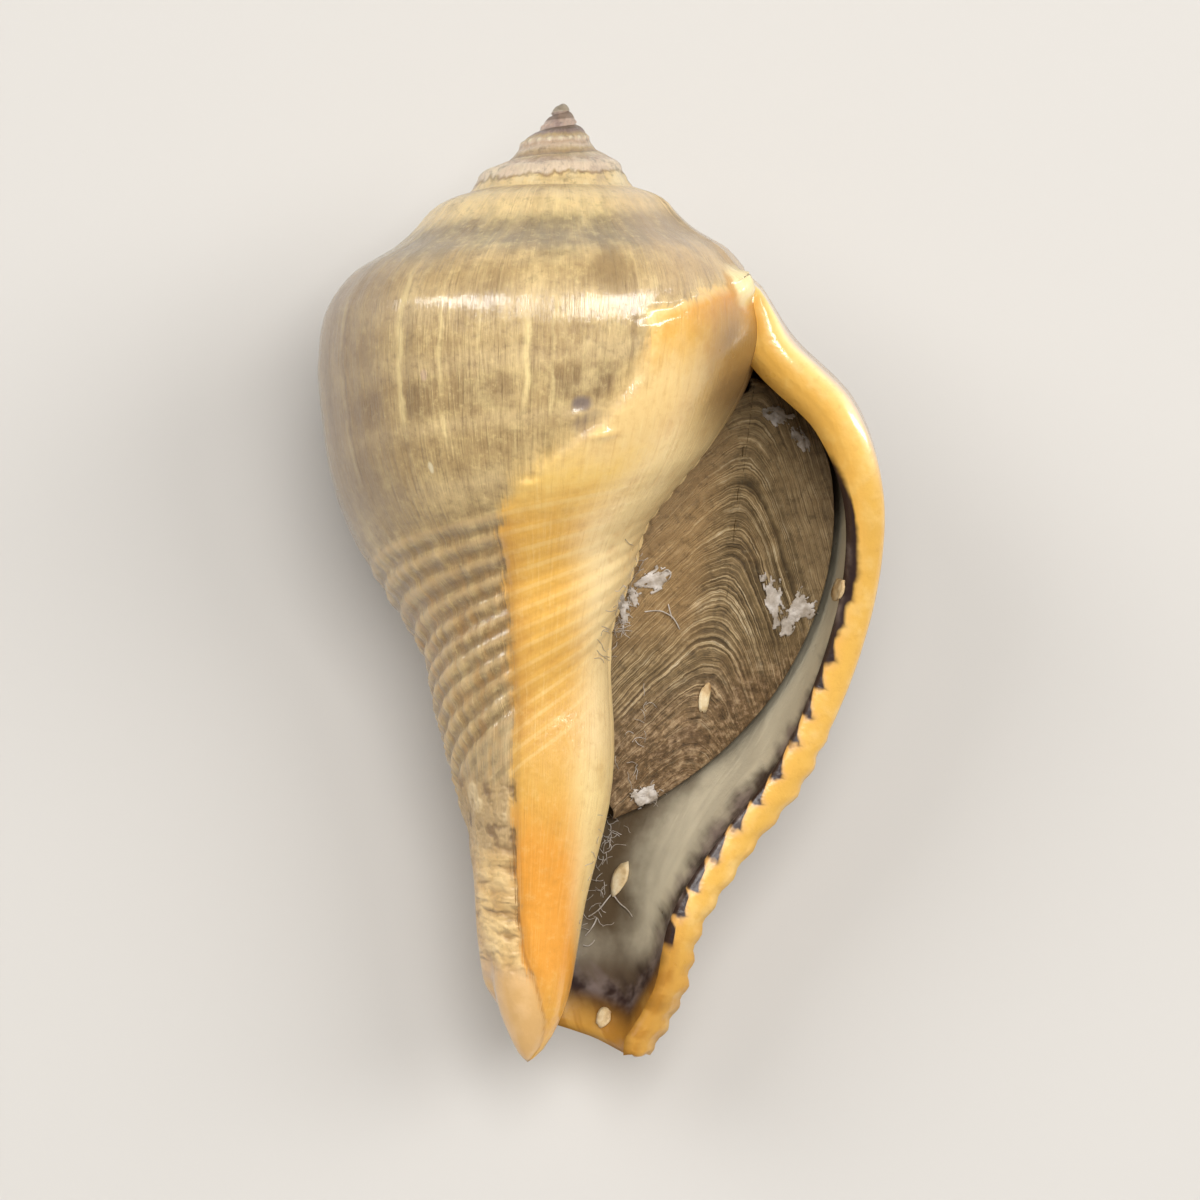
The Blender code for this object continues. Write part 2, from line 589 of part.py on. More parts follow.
class PlateSurface:
    """Closed skin of the operculum, which spans the body chamber from the pillar to the outer wall."""

    def __init__(self, growth, count, rings):
        self.g = growth
        self.top = PLATE_SIDE[0][0]
        self.bottom = PLATE_SIDE[-1][0]
        loop = self.outline(count)
        middle = loop[:, 0].min() + PLATE_MIDDLE * np.ptp(loop[:, 0])
        centre = np.array([middle, 0.5 * (self.top + self.bottom)])
        self.points = {}
        self.faces = []
        self.points[("top", 0, 0)] = self.place(centre, 0.0, 1)
        self.points[("under", 0, 0)] = self.place(centre, 0.0, -1)
        for ring in range(1, rings + 1):
            share = ring / rings
            for k, edge in enumerate(loop):
                spot = centre + (edge - centre) * share
                self.points[("top", ring, k)] = self.place(spot, share, 1)
                self.points[("under", ring, k)] = self.place(spot, share, -1)
        for k in range(count):
            after = (k + 1) % count
            self.faces.append([("top", 0, 0), ("top", 1, k), ("top", 1, after)])
            self.faces.append([("under", 0, 0), ("under", 1, after), ("under", 1, k)])
            for ring in range(1, rings):
                self.faces.append([("top", ring, k), ("top", ring + 1, k),
                                   ("top", ring + 1, after), ("top", ring, after)])
                self.faces.append([("under", ring, k), ("under", ring, after),
                                   ("under", ring + 1, after), ("under", ring + 1, k)])
            self.faces.append([("top", rings, k), ("under", rings, k),
                               ("under", rings, after), ("top", rings, after)])

    def inner_x(self, depth):
        """Where the plate's edge meets the older whorl and the pillar."""
        height = along(PLATE_INNER_HEIGHT, depth)
        x = np.full(np.shape(depth), PLATE_START)
        for _ in range(PLATE_STEPS):
            angle = np.degrees(np.arctan2(height, x))
            radius = self.g.inner(angle - 360.0, depth) + PLATE_GAP
            x = 0.5 * x + 0.5 * np.sqrt(np.maximum(radius ** 2 - height ** 2, PLATE_NEAREST ** 2))
        return x

    def sides(self, depth):
        """Places of the two long edges, which meet at both ends."""
        side = along(PLATE_SIDE, depth)
        open_top = smoothstep((depth - self.top) / PLATE_TOP_ROUND)
        open_end = smoothstep((self.bottom - depth) / PLATE_END_ROUND)
        inner = np.minimum(self.inner_x(depth), side)
        return side - (side - inner) * np.sqrt(open_top * open_end), side

    def outline(self, count):
        """Evenly spaced points around the plate, each an x and a depth."""
        turn = 0.5 * (1.0 - np.cos(np.linspace(0.0, math.pi, PLATE_DENSE)))
        depth = self.top + (self.bottom - self.top) * turn
        inner, side = self.sides(depth)
        right = np.stack([side, depth], 1)
        left = np.stack([inner, depth], 1)[::-1]
        loop = np.vstack([right, left[1:-1]])
        for _ in range(PLATE_SMOOTHING):
            loop = 0.25 * np.roll(loop, 1, 0) + 0.5 * loop + 0.25 * np.roll(loop, -1, 0)
        closed = np.vstack([loop, loop[:1]])
        run = np.append(0.0, np.cumsum(np.hypot(*np.diff(closed, axis=0).T)))
        at = np.linspace(0.0, run[-1], count, endpoint=False)
        return np.stack([np.interp(at, run, closed[:, 0]), np.interp(at, run, closed[:, 1])], 1)[::-1]

    def place(self, spot, share, side):
        """Point on the outer or the under face, share of the way from the middle to the edge."""
        x, depth = spot
        depth_in = np.clip(depth, self.top, self.bottom)
        inner, outer = (float(v) for v in self.sides(np.array(depth_in)))
        across = np.clip((x - inner) / max(outer - inner, PLATE_GAP), 0.0, 1.0)
        height = float(along(PLATE_INNER_HEIGHT, depth_in)) * (1.0 - across)
        height += float(along(PLATE_SIDE_HEIGHT, depth_in)) * across
        height -= PLATE_DISH * (1.0 - share ** 2)
        if side < 0:
            height -= PLATE_EDGE + (PLATE_THICK - PLATE_EDGE) * (1.0 - share ** 4)
        return np.array([x, -depth, height])


def new_part(name, surface, home):
    """Object made of a surface's points in millimetres and its faces."""
    index = {}
    for face in surface.faces:
        for key in face:
            index.setdefault(key, len(index))
    mesh = bpy.data.meshes.new(name)
    mesh.from_pydata([tuple(surface.points[k] * MM) for k in index], [],
                     [[index[k] for k in face] for face in surface.faces])
    mesh.validate()
    part = bpy.data.objects.new(name, mesh)
    home.objects.link(part)
    return part


def lighten(part, share):
    """Keep a share of the triangles, where the shape needs them."""
    fewer = part.modifiers.new("fewer_triangles", "DECIMATE")
    fewer.ratio = share
    seen = part.evaluated_get(bpy.context.evaluated_depsgraph_get())
    part.data = bpy.data.meshes.new_from_object(seen)
    part.data.name = part.name
    part.modifiers.remove(fewer)


def wear_flat(part, height):
    """Wear the underside down to a flat spot at this height."""
    skin = bmesh.new()
    skin.from_mesh(part.data)
    everything = skin.verts[:] + skin.edges[:] + skin.faces[:]
    cut = bmesh.ops.bisect_plane(skin, geom=everything, plane_co=(0.0, 0.0, height),
                                 plane_no=(0.0, 0.0, -1.0), clear_outer=True)
    rim = [e for e in cut["geom_cut"] if isinstance(e, bmesh.types.BMEdge)]
    spot = bmesh.ops.edgeloop_fill(skin, edges=rim)["faces"]
    for face in skin.faces:
        face.smooth = face not in spot
    bmesh.ops.recalc_face_normals(skin, faces=skin.faces)
    bmesh.ops.triangulate(skin, faces=skin.faces[:])
    skin.to_mesh(part.data)
    skin.free()


def lay_down(shell, operculum):
    """Lay the shell on its back, with the origin on the floor under the middle of its box."""
    tip = Matrix.Rotation(math.radians(REST_TIP), 4, "X")
    for part in (shell, operculum):
        part.data.transform(tip)
        part.data.shade_smooth()
    floor = min(v.co.z for v in shell.data.vertices) + WORN_DEPTH * MM
    wear_flat(shell, floor)
    xs = [v.co.x for v in shell.data.vertices]
    ys = [v.co.y for v in shell.data.vertices]
    middle = Vector((0.5 * (min(xs) + max(xs)), 0.5 * (min(ys) + max(ys)), floor))
    for part in (shell, operculum):
        part.data.transform(Matrix.Translation(-middle))


def finish(part, colour, roughness):
    """Give a piece a material of its own."""
    coat = bpy.data.materials.new(part.name)
    coat.use_nodes = True
    shader = coat.node_tree.nodes["Principled BSDF"]
    shader.inputs["Base Color"].default_value = (*colour, 1.0)
    shader.inputs["Roughness"].default_value = roughness
    shader.inputs["Metallic"].default_value = 0.0
    part.data.materials.append(coat)


def build():
    for old in list(bpy.data.objects):
        bpy.data.objects.remove(old, do_unlink=True)
    home = bpy.data.collections.new("volema_pyrum")
    bpy.context.scene.collection.children.link(home)
    growth = Growth(COLUMNS)
    skin = ShellSurface(growth, RAMP_ROWS, EDGE_ROWS, UPPER_ROWS, 2 * ROW_CORDS, END_ROWS, TIP_ROWS)
    shell = new_part("shell", skin, home)
    lighten(shell, SKIN_SHARE)
    operculum = new_part("operculum", PlateSurface(growth, PLATE_POINTS, PLATE_RINGS), home)
    lay_down(shell, operculum)
    finish(shell, SHELL_COLOUR, SHELL_ROUGHNESS)
    finish(operculum, PLATE_COLOUR, PLATE_ROUGHNESS)


build()
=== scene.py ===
"""Looks of a pear-shaped sea snail shell that lies on its back, with its horny plate in the opening.

The shell is grown in millimetres, as a loft of sections around its coiling axis: 0 degrees
is the right side of the last whorl, negative angles are older, and one whorl is 360.
Age is a depth below the apex, measured in millimetres of the last whorl, so that a band
keeps its age from whorl to whorl.
"""
import math
from random import Random

import bmesh
import bpy
import numpy as np
from bpy.props import FloatProperty, FloatVectorProperty, PointerProperty
from mathutils import Matrix, Vector
from mathutils.bvhtree import BVHTree


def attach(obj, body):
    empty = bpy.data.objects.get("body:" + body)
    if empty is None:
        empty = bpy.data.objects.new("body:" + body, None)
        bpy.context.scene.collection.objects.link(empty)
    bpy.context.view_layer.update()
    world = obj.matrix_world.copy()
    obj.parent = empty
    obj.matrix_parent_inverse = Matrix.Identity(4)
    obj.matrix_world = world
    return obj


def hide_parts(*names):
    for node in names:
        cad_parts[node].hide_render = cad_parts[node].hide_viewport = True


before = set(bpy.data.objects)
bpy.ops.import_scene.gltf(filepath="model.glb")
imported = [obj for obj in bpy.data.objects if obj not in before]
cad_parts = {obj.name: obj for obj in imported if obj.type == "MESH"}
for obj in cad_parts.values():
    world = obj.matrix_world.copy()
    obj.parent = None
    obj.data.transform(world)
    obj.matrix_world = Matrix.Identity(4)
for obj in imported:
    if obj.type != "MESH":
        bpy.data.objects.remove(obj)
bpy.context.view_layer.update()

bl_info = {
    "name": "Pear-shaped sea snail shell",
    "version": (1, 0, 0),
    "blender": (4, 5, 0),
    "location": "3D View > Sidebar > Shell",
    "description": "Grows a sea snail shell with its operculum, and lights it on a plain floor",
    "category": "Add Mesh",
}

MM = 0.001
MILLIMETRES = 1000.0
# A distance too far to matter, the growth angle past which the lip is far away, and the callus's least depth
FAR = 99.0
OLD_SIDE = -200.0
CALLUS_TOP = 12.4

# Growth, one value for each half whorl, newest first: lip, left side, and so on inwards.
SUTURE_DEPTH = (12.0, 7.1, 6.0, 4.6, 3.45)
SHOULDER_DEPTH = (19.0, 13.1, 10.2, 8.8, 7.2)
SHOULDER_RADIUS = (20.3, 14.7, 11.9, 8.1, 6.7)
BASE_SIZE = (1.0, 0.75, 0.56, 0.42, 0.32)
# Older half whorls shrink by these ratios.
OLDER_SUTURE = 1.50
OLDER_SHOULDER_DEPTH = 1.36
OLDER_SHOULDER_RADIUS = 1.45
OLDER_BASE = 1.31
OLDEST_HALF_WHORL = 12

# Ramp between suture and shoulder: share of the depth, share of the radius, the same at the lip.
RAMP = ((0.12, 0.24, 0.18), (0.24, 0.35, 0.27), (0.40, 0.44, 0.38), (0.55, 0.54, 0.49),
        (0.70, 0.66, 0.63), (0.85, 0.83, 0.81))

# Body below the shoulder: depth under it at full size, radius over the shoulder's
# on the left side of the last whorl, and the same at the lip.
BODY = (
    (1.2, 1.057, 1.059),
    (3.9, 1.136, 1.135),
    (7.9, 1.164, 1.190),
    (14.5, 1.131, 1.191),
    (19.9, 1.072, 1.142),
    (25.2, 0.955, 1.059),
    (30.5, 0.768, 0.941),
    (35.9, 0.584, 0.755),
    (41.2, 0.519, 0.610),
    (46.5, 0.430, 0.565),
    (51.9, 0.342, 0.490),
    (57.2, 0.296, 0.330),
    (62.5, 0.270, 0.250),
    (67.9, 0.208, 0.200),
    (73.2, 0.085, 0.100),
    (75.9, 0.000, 0.000),
)

# Pillar around the axis: depth, radius. The tip is where its surface closes.
PILLAR = ((30.0, 3.0), (36.0, 4.2), (42.0, 4.75), (48.0, 5.2), (51.0, 5.0), (54.7, 4.3), (58.4, 3.5),
          (62.0, 3.0), (65.5, 2.45), (67.6, 1.75), (69.0, 1.1), (69.7, 0.65), (70.0, 0.25))
PILLAR_BLEND = 0.35
PILLAR_REACH = 6.0
TIP_DEPTH = 69.9
TIP_CLOSE = 4.0
PROFILE_END = 81.9

# End of the canal and, for older growth, of the ridge that it leaves: growth angle, depth.
CANAL_END = ((-720.0, 40.0), (-540.0, 47.0), (-340.0, 56.0), (-270.0, 59.5), (-180.0, 63.0), (-125.0, 65.8),
             (-100.0, 66.9), (-70.0, 67.6), (-45.0, 68.4), (-20.0, 69.5), (-6.0, 69.6), (18.0, 70.6))
CANAL_JOIN = -125.0
RIDGE_STEP = 1.6
RIDGE_FADE = 3.2

# Lip: the growth angle where it stands, and how far it leans back from the suture (0) to the canal (1).
# The wall is thicker at the lip, and its edge is rounded.
LIP_ANGLE = 18.0
LIP_LEAN = ((0.0, 0.0), (0.20, -4.0), (0.40, -13.0), (0.70, -17.5), (0.90, -20.5), (0.96, -25.0),
            (1.0, -33.0))
LEAN_START = -95.0
WALL = 1.25
LIP_EXTRA = 1.15
LIP_SPREAD = 6.0
LIP_ROUND = 0.63
RIM_WALL = 0.9
RIM_TOP = 56.0
RIM_CHANGE = 10.0
ROUND_START = 0.6
ROUND_END = 0.06

# Body chamber: how far back it goes, its corner under the suture, and the depth of its crease at the pillar
CHAMBER_TURN = 205.0
CORNER_DEPTH = 1.5
CORNER_OPEN = 2.2
CREASE_OPEN = 4.0
MIN_GAP = 0.3
EDGE_SMOOTHING = 6
CREASE = ((-720.0, 33.0), (-540.0, 36.0), (-300.0, 41.0), (-187.0, 45.0), (-170.0, 48.0), (-155.0, 52.0),
          (-140.0, 59.0), (-125.0, 65.8), (-95.0, 74.0), (18.0, 95.0))

# Spiral cords of the base, in depths at full size
CORD_TOP = 43.7
CORD_STEP = 2.1
CORD_COUNT = 14
ROW_CORDS = 11
CORD_HEIGHT = 0.16
CORD_FADE = 1.5
RELIEF_START = 1.0

# Callus on the inner lip: growth angle and depth of its edge, and the far corners that close its outline
CALLUS_EDGE = ((-338.0, 13.0), (-321.0, 13.7), (-298.0, 15.8), (-294.0, 20.3), (-285.0, 23.5), (-262.0, 27.5),
               (-251.0, 32.0), (-250.0, 40.0), (-250.0, 50.0), (-250.0, 58.0), (-258.0, 62.0), (-290.0, 66.0),
               (-330.0, 69.5))
CALLUS_FAR = ((-700.0, 90.0), (-700.0, 0.0), (-338.0, 0.0))
CALLUS_THICK = 0.35
CALLUS_SOFT = 0.8
CALLUS_PAD = 0.9
PAD_DEPTH = 18.5
PAD_ANGLE = -352.0
PAD_HEIGHT = 4.0
PAD_SPREAD = 30.0

# Operculum: depth and x of the edge beside the outer wall, then the heights of that edge and the other one
PLATE_SIDE = ((19.3, 14.6), (20.0, 16.4), (21.1, 18.0), (24.7, 20.4), (28.3, 21.1), (32.7, 21.0),
              (38.6, 19.4), (44.6, 15.9), (48.8, 11.7), (51.5, 7.7), (52.5, 5.6))
PLATE_SIDE_HEIGHT = ((19.3, -5.8), (21.1, -6.4), (24.7, -5.7), (28.3, -5.1), (32.7, -4.9), (38.6, -5.5),
                     (44.6, -6.9), (48.8, -7.5), (52.5, -7.0))
PLATE_INNER_HEIGHT = ((19.3, -5.2), (24.7, -3.6), (38.6, -3.2), (46.0, -3.4), (52.5, -6.4))
PLATE_GAP = 0.45
PLATE_DISH = 0.5
PLATE_EDGE = 0.3
PLATE_THICK = 0.9
PLATE_MIDDLE = 0.55
PLATE_TOP_ROUND = 3.0
PLATE_END_ROUND = 4.0
PLATE_POINTS = 300
PLATE_RINGS = 60

# Mesh: columns in one whorl, rows in each band from the suture to the tip.
APEX_ANGLE = -1782.0
APEX_RADIUS = 0.12
TABLE_STEP = 0.1
COLUMNS = 228
RAMP_ROWS = 18
EDGE_ROWS = 8
UPPER_ROWS = 44
ROWS_PER_CORD = 5
END_ROWS = 10
TIP_ROWS = 12
DENSE = 900
TIP_POINT = 0.08
APEX_POINT = 0.12
CHAMBER_END = 1.5

# Search for the plate's inner edge: first and least x, and steps. Then the smoothing of its outline.
PLATE_START = 8.0
PLATE_NEAREST = 2.0
PLATE_STEPS = 20
PLATE_DENSE = 200
PLATE_SMOOTHING = 12

# Rest: the shell lies on its back, its canal tipped down by this angle, and is then moved by this much.
REST_TIP = 6.0
REST_SHIFT = (-3.656, 34.9785, 22.3815)


def paint(red, green, blue):
    """Linear colour of the 0 to 255 values that a painter reads off a chart."""
    return tuple(c / 12.92 if c <= 0.04045 else ((c + 0.055) / 1.055) ** 2.4
                 for c in (v / 255.0 for v in (red, green, blue)))


# Fine forms: heights in millimetres, angles in degrees of growth, ages and depths in millimetres.
FOLD_HEIGHT = 0.10
BEAD_AGE = 13.3
BEAD_NEWEST = -800.0
BEADS_IN_WHORL = 20
BEAD_HEIGHT = 0.16
DROPS_END = 19.5
DROP_HEIGHT = 0.34
ERODED_HEIGHT = 0.13
LEDGE_HEIGHT = 0.30
# How much of the cords the callus fills, and the lumps on the bare cords
CALLUS_FILL = 0.72
CORD_LUMPS = 0.10
# The oldest growth is worn to a blunt cap.
CAP_ANGLE = -1360.0
CAP_HEIGHT = 0.22
# Extra thickness inside the lip, by depth, and how far from its edge it is greatest
LIP_FILL = ((10.0, 1.2), (13.0, 1.7), (16.0, 2.0), (19.0, 1.8), (23.0, 1.6), (27.0, 1.0), (32.0, 0.4),
            (40.0, 0.1), (52.0, 0.0), (60.0, 0.3), (69.0, 0.5))
LIP_FILL_PLACE = (2.4, 1.7)
EDGE_THINNING = 0.40
# Along the rounded edge of the lip, from its middle to its side, less half its thickness
EDGE_ARC = 0.63
# Callus that closes the corner between lip and body: growth angle and depth, half widths, height
CORNER_FILL = (-351.0, 16.2, 9.0, 3.0, 0.9)
# Scars of the last whorl: growth angle, age, half widths in degrees and in age, height
SCARS = ((-278.5, 35.4, 2.0, 0.6, -0.28),
         (-276.0, 36.5, 3.2, 0.5, 0.12),
         (-283.0, 37.6, 4.5, 1.2, -0.12),
         (-286.5, 38.9, 4.0, 0.4, 0.30),
         (-270.0, 40.8, 0.8, 1.2, -0.30),
         (-268.6, 41.2, 0.7, 1.2, 0.14),
         (-264.5, 42.5, 2.6, 0.35, -0.26),
         (-264.0, 43.1, 2.4, 0.4, 0.16),
         (-262.0, 29.5, 0.8, 3.0, 0.10),
         (-235.0, 30.6, 0.8, 0.5, -0.16),
         (-234.0, 39.9, 0.8, 0.5, -0.16))
# Knob where the lip meets the body: growth angle, depth, half widths and height
KNOB = (-336.0, 13.3, 5.0, 0.90, 1.40)
# Growth older than this bears no callus on the outside
SIDE_LIMIT = -352.0

# Colours of the shell
CREAM = paint(238, 208, 148)
OLIVE = paint(146, 125, 86)
BEIGE = paint(202, 173, 124)
SAND = paint(188, 158, 107)
DRAB = paint(172, 140, 92)
BROWN = paint(106, 78, 46)
BLOCK = paint(140, 112, 74)
UMBER = paint(74, 52, 34)
GOLD = paint(234, 180, 84)
HONEY = paint(240, 204, 136)
ORANGE = paint(232, 158, 60)
AMBER = paint(190, 130, 54)
YELLOW = paint(242, 200, 112)
PALE = paint(252, 226, 160)
IVORY = paint(250, 238, 200)
MAUVE = paint(150, 122, 112)
ROSE = paint(208, 176, 144)
PLUM = paint(46, 29, 27)
LILAC = paint(132, 116, 110)
SLATE = paint(134, 118, 88)
PEARL = paint(214, 204, 178)
ROSE_CREAM = paint(232, 208, 178)
SHADE = paint(92, 76, 56)
GILT = paint(226, 174, 76)
BRASS = paint(224, 172, 82)
# Painted shade of the left side
LEFT_SIDE_SHADE = paint(120, 97, 76)
WORN = paint(212, 178, 126)
RIDGE = paint(208, 172, 120)
CORD_WARM = paint(200, 146, 78)
# Painted shade of low relief, and painted light of raised relief
HOLLOW_SHADE = paint(128, 94, 54)
RAISED_LIGHT = paint(230, 200, 146)
FOOT = paint(212, 170, 108)
FOOT_PALE = paint(238, 202, 140)
FOOT_RING = paint(150, 108, 62)
FOOT_CREAM = paint(250, 220, 164)
TIP = paint(222, 176, 112)
TIP_PALE = paint(230, 186, 126)
WORN_PALE = paint(240, 212, 162)
PIT = paint(122, 88, 56)
APEX = paint(176, 146, 134)
APEX_PALE = paint(222, 192, 170)
GLAZE_PALE = paint(252, 224, 166)
GLAZE_EDGE = paint(196, 136, 62)
# Painted shade of the callus where it turns into the chamber
GLAZE_SHADE = paint(128, 96, 56)
SEAM = paint(170, 108, 46)
PEARL_DULL = paint(176, 166, 144)
# Painted shade of the chamber's upper corner
CHAMBER_SHADE_TAN = paint(150, 122, 84)
LIP_PINK = paint(206, 158, 112)
CANAL_GOLD = paint(182, 128, 48)
LIP_LOW = paint(200, 146, 62)
KNOB_CREAM = paint(248, 226, 170)

# Colours by age on the last whorl and on the older ones, and by depth on the callus and along the lip
BODY_BANDS = ((10.0, SAND), (10.9, CREAM), (12.8, CREAM), (14.4, OLIVE), (16.6, OLIVE), (18.4, BEIGE),
              (20.0, SAND), (23.8, BEIGE), (25.4, SAND), (27.4, SAND), (28.8, BEIGE), (30.0, BEIGE),
              (31.2, SAND), (34.4, SAND), (35.6, BEIGE), (37.2, SAND), (40.0, SAND), (42.0, BEIGE),
              (44.5, SAND), (50.0, DRAB), (56.0, DRAB), (62.0, SAND), (74.0, BEIGE), (84.0, ROSE),
              (110.0, ROSE))
SPIRE_BANDS = ((10.2, BROWN), (11.0, BEIGE), (12.2, ROSE), (13.0, ROSE_CREAM), (14.6, ROSE_CREAM),
               (15.2, DRAB), (15.7, CREAM), (22.0, CREAM))
EARLY_BANDS = ((9.6, BROWN), (10.4, MAUVE), (11.8, BEIGE), (13.4, ROSE_CREAM), (14.4, ROSE),
               (15.8, ROSE_CREAM), (17.2, BEIGE), (18.2, DRAB), (18.9, SLATE), (20.0, BEIGE))
CALLUS_BANDS = ((12.5, AMBER), (13.8, ORANGE), (17.0, GOLD), (20.0, HONEY), (25.0, HONEY), (28.0, YELLOW),
                (31.0, GOLD), (38.0, GOLD), (44.0, BRASS), (50.0, BRASS), (55.0, ORANGE), (63.0, ORANGE),
                (69.0, GOLD))
# Across the rounded edge of the lip, in millimetres from its middle, below zero on the outside
LIP_BANDS = ((-3.6, MAUVE), (-2.3, ROSE), (-1.6, ROSE_CREAM), (-1.0, PALE), (-0.4, YELLOW), (0.4, GOLD),
             (4.0, GOLD))
# Where the plum band inside the lip ends, by depth: centimetres from the middle of the edge, as grey levels
CHAMBER_REACH = tuple((depth, (reach, reach, reach)) for depth, reach in (
    (24.0, 0.60), (36.0, 0.50), (43.0, 0.50), (50.0, 0.56), (58.0, 0.46), (66.0, 0.55)))

# Pale growth streaks of the last whorl: growth angle, first and last age, half width in degrees, strength
STREAKS = ((-227.5, 19.0, 35.2, 0.8, 0.65),
           (-240.2, 21.0, 37.5, 0.6, 0.50),
           (-263.6, 25.5, 34.0, 0.8, 0.75),
           (-203.5, 21.0, 40.0, 0.9, 0.45),
           (-251.0, 19.0, 30.0, 0.5, 0.35),
           (-270.5, 20.0, 36.0, 0.5, 0.30),
           (-279.0, 22.0, 31.0, 0.6, 0.30))
DARK_LINES = ((-205.6, 22.0, 40.0, 0.5, 0.45),
              (-231.0, 23.0, 35.0, 1.6, 0.30),
              (-265.6, 27.0, 33.0, 0.7, 0.35),
              (-292.5, 18.0, 35.5, 0.7, 0.45),
              (-194.0, 20.0, 36.0, 3.5, 0.40))
# Blocks of the dark band: growth angle of the middle, half width in degrees, strength
BLOCKS = ((-233.5, 5.0, 0.75), (-252.0, 9.0, 0.60), (-279.5, 9.5, 0.75), (-216.0, 6.0, 0.40))
# Stains: growth angle, age, half widths in degrees and in age, colour, strength
STAINS = ((-286.5, 20.5, 5.5, 3.2, BLOCK, 0.60),
          (-252.0, 22.0, 7.0, 3.0, BLOCK, 0.35),
          (-279.0, 35.2, 3.2, 0.9, LILAC, 0.85),
          (-283.0, 37.6, 6.0, 1.5, LILAC, 0.55),
          (-287.0, 38.8, 4.2, 0.45, YELLOW, 0.80),
          (-270.2, 40.6, 0.9, 1.5, UMBER, 0.50),
          (-264.5, 42.4, 2.4, 0.35, UMBER, 0.50),
          (-235.0, 30.4, 1.0, 0.6, ROSE, 0.80),
          (-234.0, 39.8, 1.0, 0.6, IVORY, 0.60))
# Height in metres of the finest relief, which only the light shows, and the share that the clear coat keeps
SKIN_BUMP = 0.00020
COAT_SHARE = 0.3

# Plate: x and depth of a point on its crest and the crest's slope, how round the crest is, and how steep
# the growth lines are to its left and right
CREST = (14.46, 25.4, -0.14)
CREST_ROUND = 2.2
LINE_SLOPES = (1.45, 2.3)
PLATE_LINES = ((0.33, paint(64, 50, 32)), (0.46, paint(112, 91, 60)), (0.53, paint(150, 125, 86)),
               (0.60, paint(192, 166, 124)), (0.69, paint(240, 224, 190)))
PLATE_FIBRES = ((0.36, paint(78, 56, 38)), (0.50, paint(128, 98, 68)), (0.64, paint(212, 178, 140)))
PLATE_DARK = paint(60, 48, 28)
PLATE_PALE = paint(150, 128, 88)
# Painted light on the plate's upper left flank
PLATE_LIT_FLANK = paint(186, 148, 98)
# Painted light on the top of the plate
PLATE_TOP_LIGHT = paint(190, 162, 122)
PLATE_PATCH = paint(150, 116, 76)
PLATE_PIT = paint(46, 34, 20)
PLATE_GLINT = paint(200, 180, 140)
PLATE_BUMP = 0.00022
# Colours of the white scales and of the chips, by their noise, and the height of their relief in metres
FLAKE_COLOURS = ((0.3, paint(140, 126, 108)), (0.5, paint(186, 174, 160)), (0.7, paint(226, 218, 210)))
CHIP_COLOURS = ((0.3, paint(176, 138, 92)), (0.5, paint(222, 194, 146)), (0.68, paint(244, 228, 192)))
FLAKE_BUMP = 0.00008
CHIP_BUMP = 0.0001

# Dirt, placed in millimetres in the growing frame, as seen from the front: x and depth.
# White scales: middle, width and height, turn in degrees, seed
SCALES = ((16.7, 35.8, 1.9, 4.2, 12.0, 3),
          (18.0, 37.4, 1.2, 2.4, -20.0, 14),
          (18.9, 36.3, 2.2, 2.6, -40.0, 4),
          (16.6, 22.3, 2.4, 1.7, -20.0, 5),
          (18.3, 24.0, 1.0, 2.4, 35.0, 6),
          (7.9, 34.7, 3.0, 1.7, 30.0, 7),
          (8.0, 50.5, 2.3, 1.5, 15.0, 8),
          (5.9, 37.1, 0.9, 2.6, 8.0, 9),
          (6.5, 35.9, 0.8, 2.0, 20.0, 19))
# Chips of shell skin: middle, half width and half height, turn in degrees
CHIPS = ((12.0, 43.1, 0.38, 1.1, -8.0),
         (6.3, 56.5, 0.5, 1.3, -18.0),
         (5.5, 66.7, 0.5, 0.75, -25.0),
         (21.5, 34.8, 0.40, 0.85, -12.0))
# Threads: points from end to end
THREADS = (((8.1, 34.7), (8.6, 34.0), (9.0, 33.8), (9.3, 34.3), (9.0, 34.6)),
           ((7.4, 37.0), (8.4, 36.8), (9.1, 37.1), (9.6, 37.4), (10.0, 38.2)),
           ((9.1, 36.4), (9.2, 36.8), (9.4, 37.4)),
           ((4.1, 59.4), (4.8, 59.0), (5.4, 58.1), (5.8, 57.6)),
           ((5.8, 57.6), (6.2, 58.3), (7.0, 58.8), (7.3, 59.3)),
           ((3.9, 60.8), (4.5, 60.2), (4.7, 59.5)),
           ((3.8, 61.5), (4.3, 61.7), (4.6, 61.1)),
           ((17.9, 23.8), (18.5, 23.6), (18.9, 24.2), (19.0, 24.9)))
# Fuzz: line along which short hairs stand, and how many there are
FUZZ = (((6.9, 32.1), (6.1, 36.2), (5.5, 39.1), 26),
        ((6.4, 35.1), (5.3, 38.0), (4.8, 40.6), 22),
        ((5.6, 52.3), (4.9, 55.2), (4.4, 60.4), 46),
        ((8.0, 43.4), (7.4, 46.4), (6.4, 49.0), 14),
        ((7.2, 50.0), (8.3, 50.5), (9.1, 50.0), 12))
HAIR_LENGTH = 0.9
THREAD_RADIUS = 0.05
HAIR_RADIUS = 0.022
SCALE_THICK = 0.09
CHIP_THICK = 0.16
SCALE_GRID = 26
DIRT_SEED = 12

# Camera, in the growing frame, and the width that it sees
CAMERA_PLACE = (4.10, -36.26, 420.0)
CAMERA_UP_X = -0.0365
FRAME_WIDTH = 87.68
SENSOR = 36.0
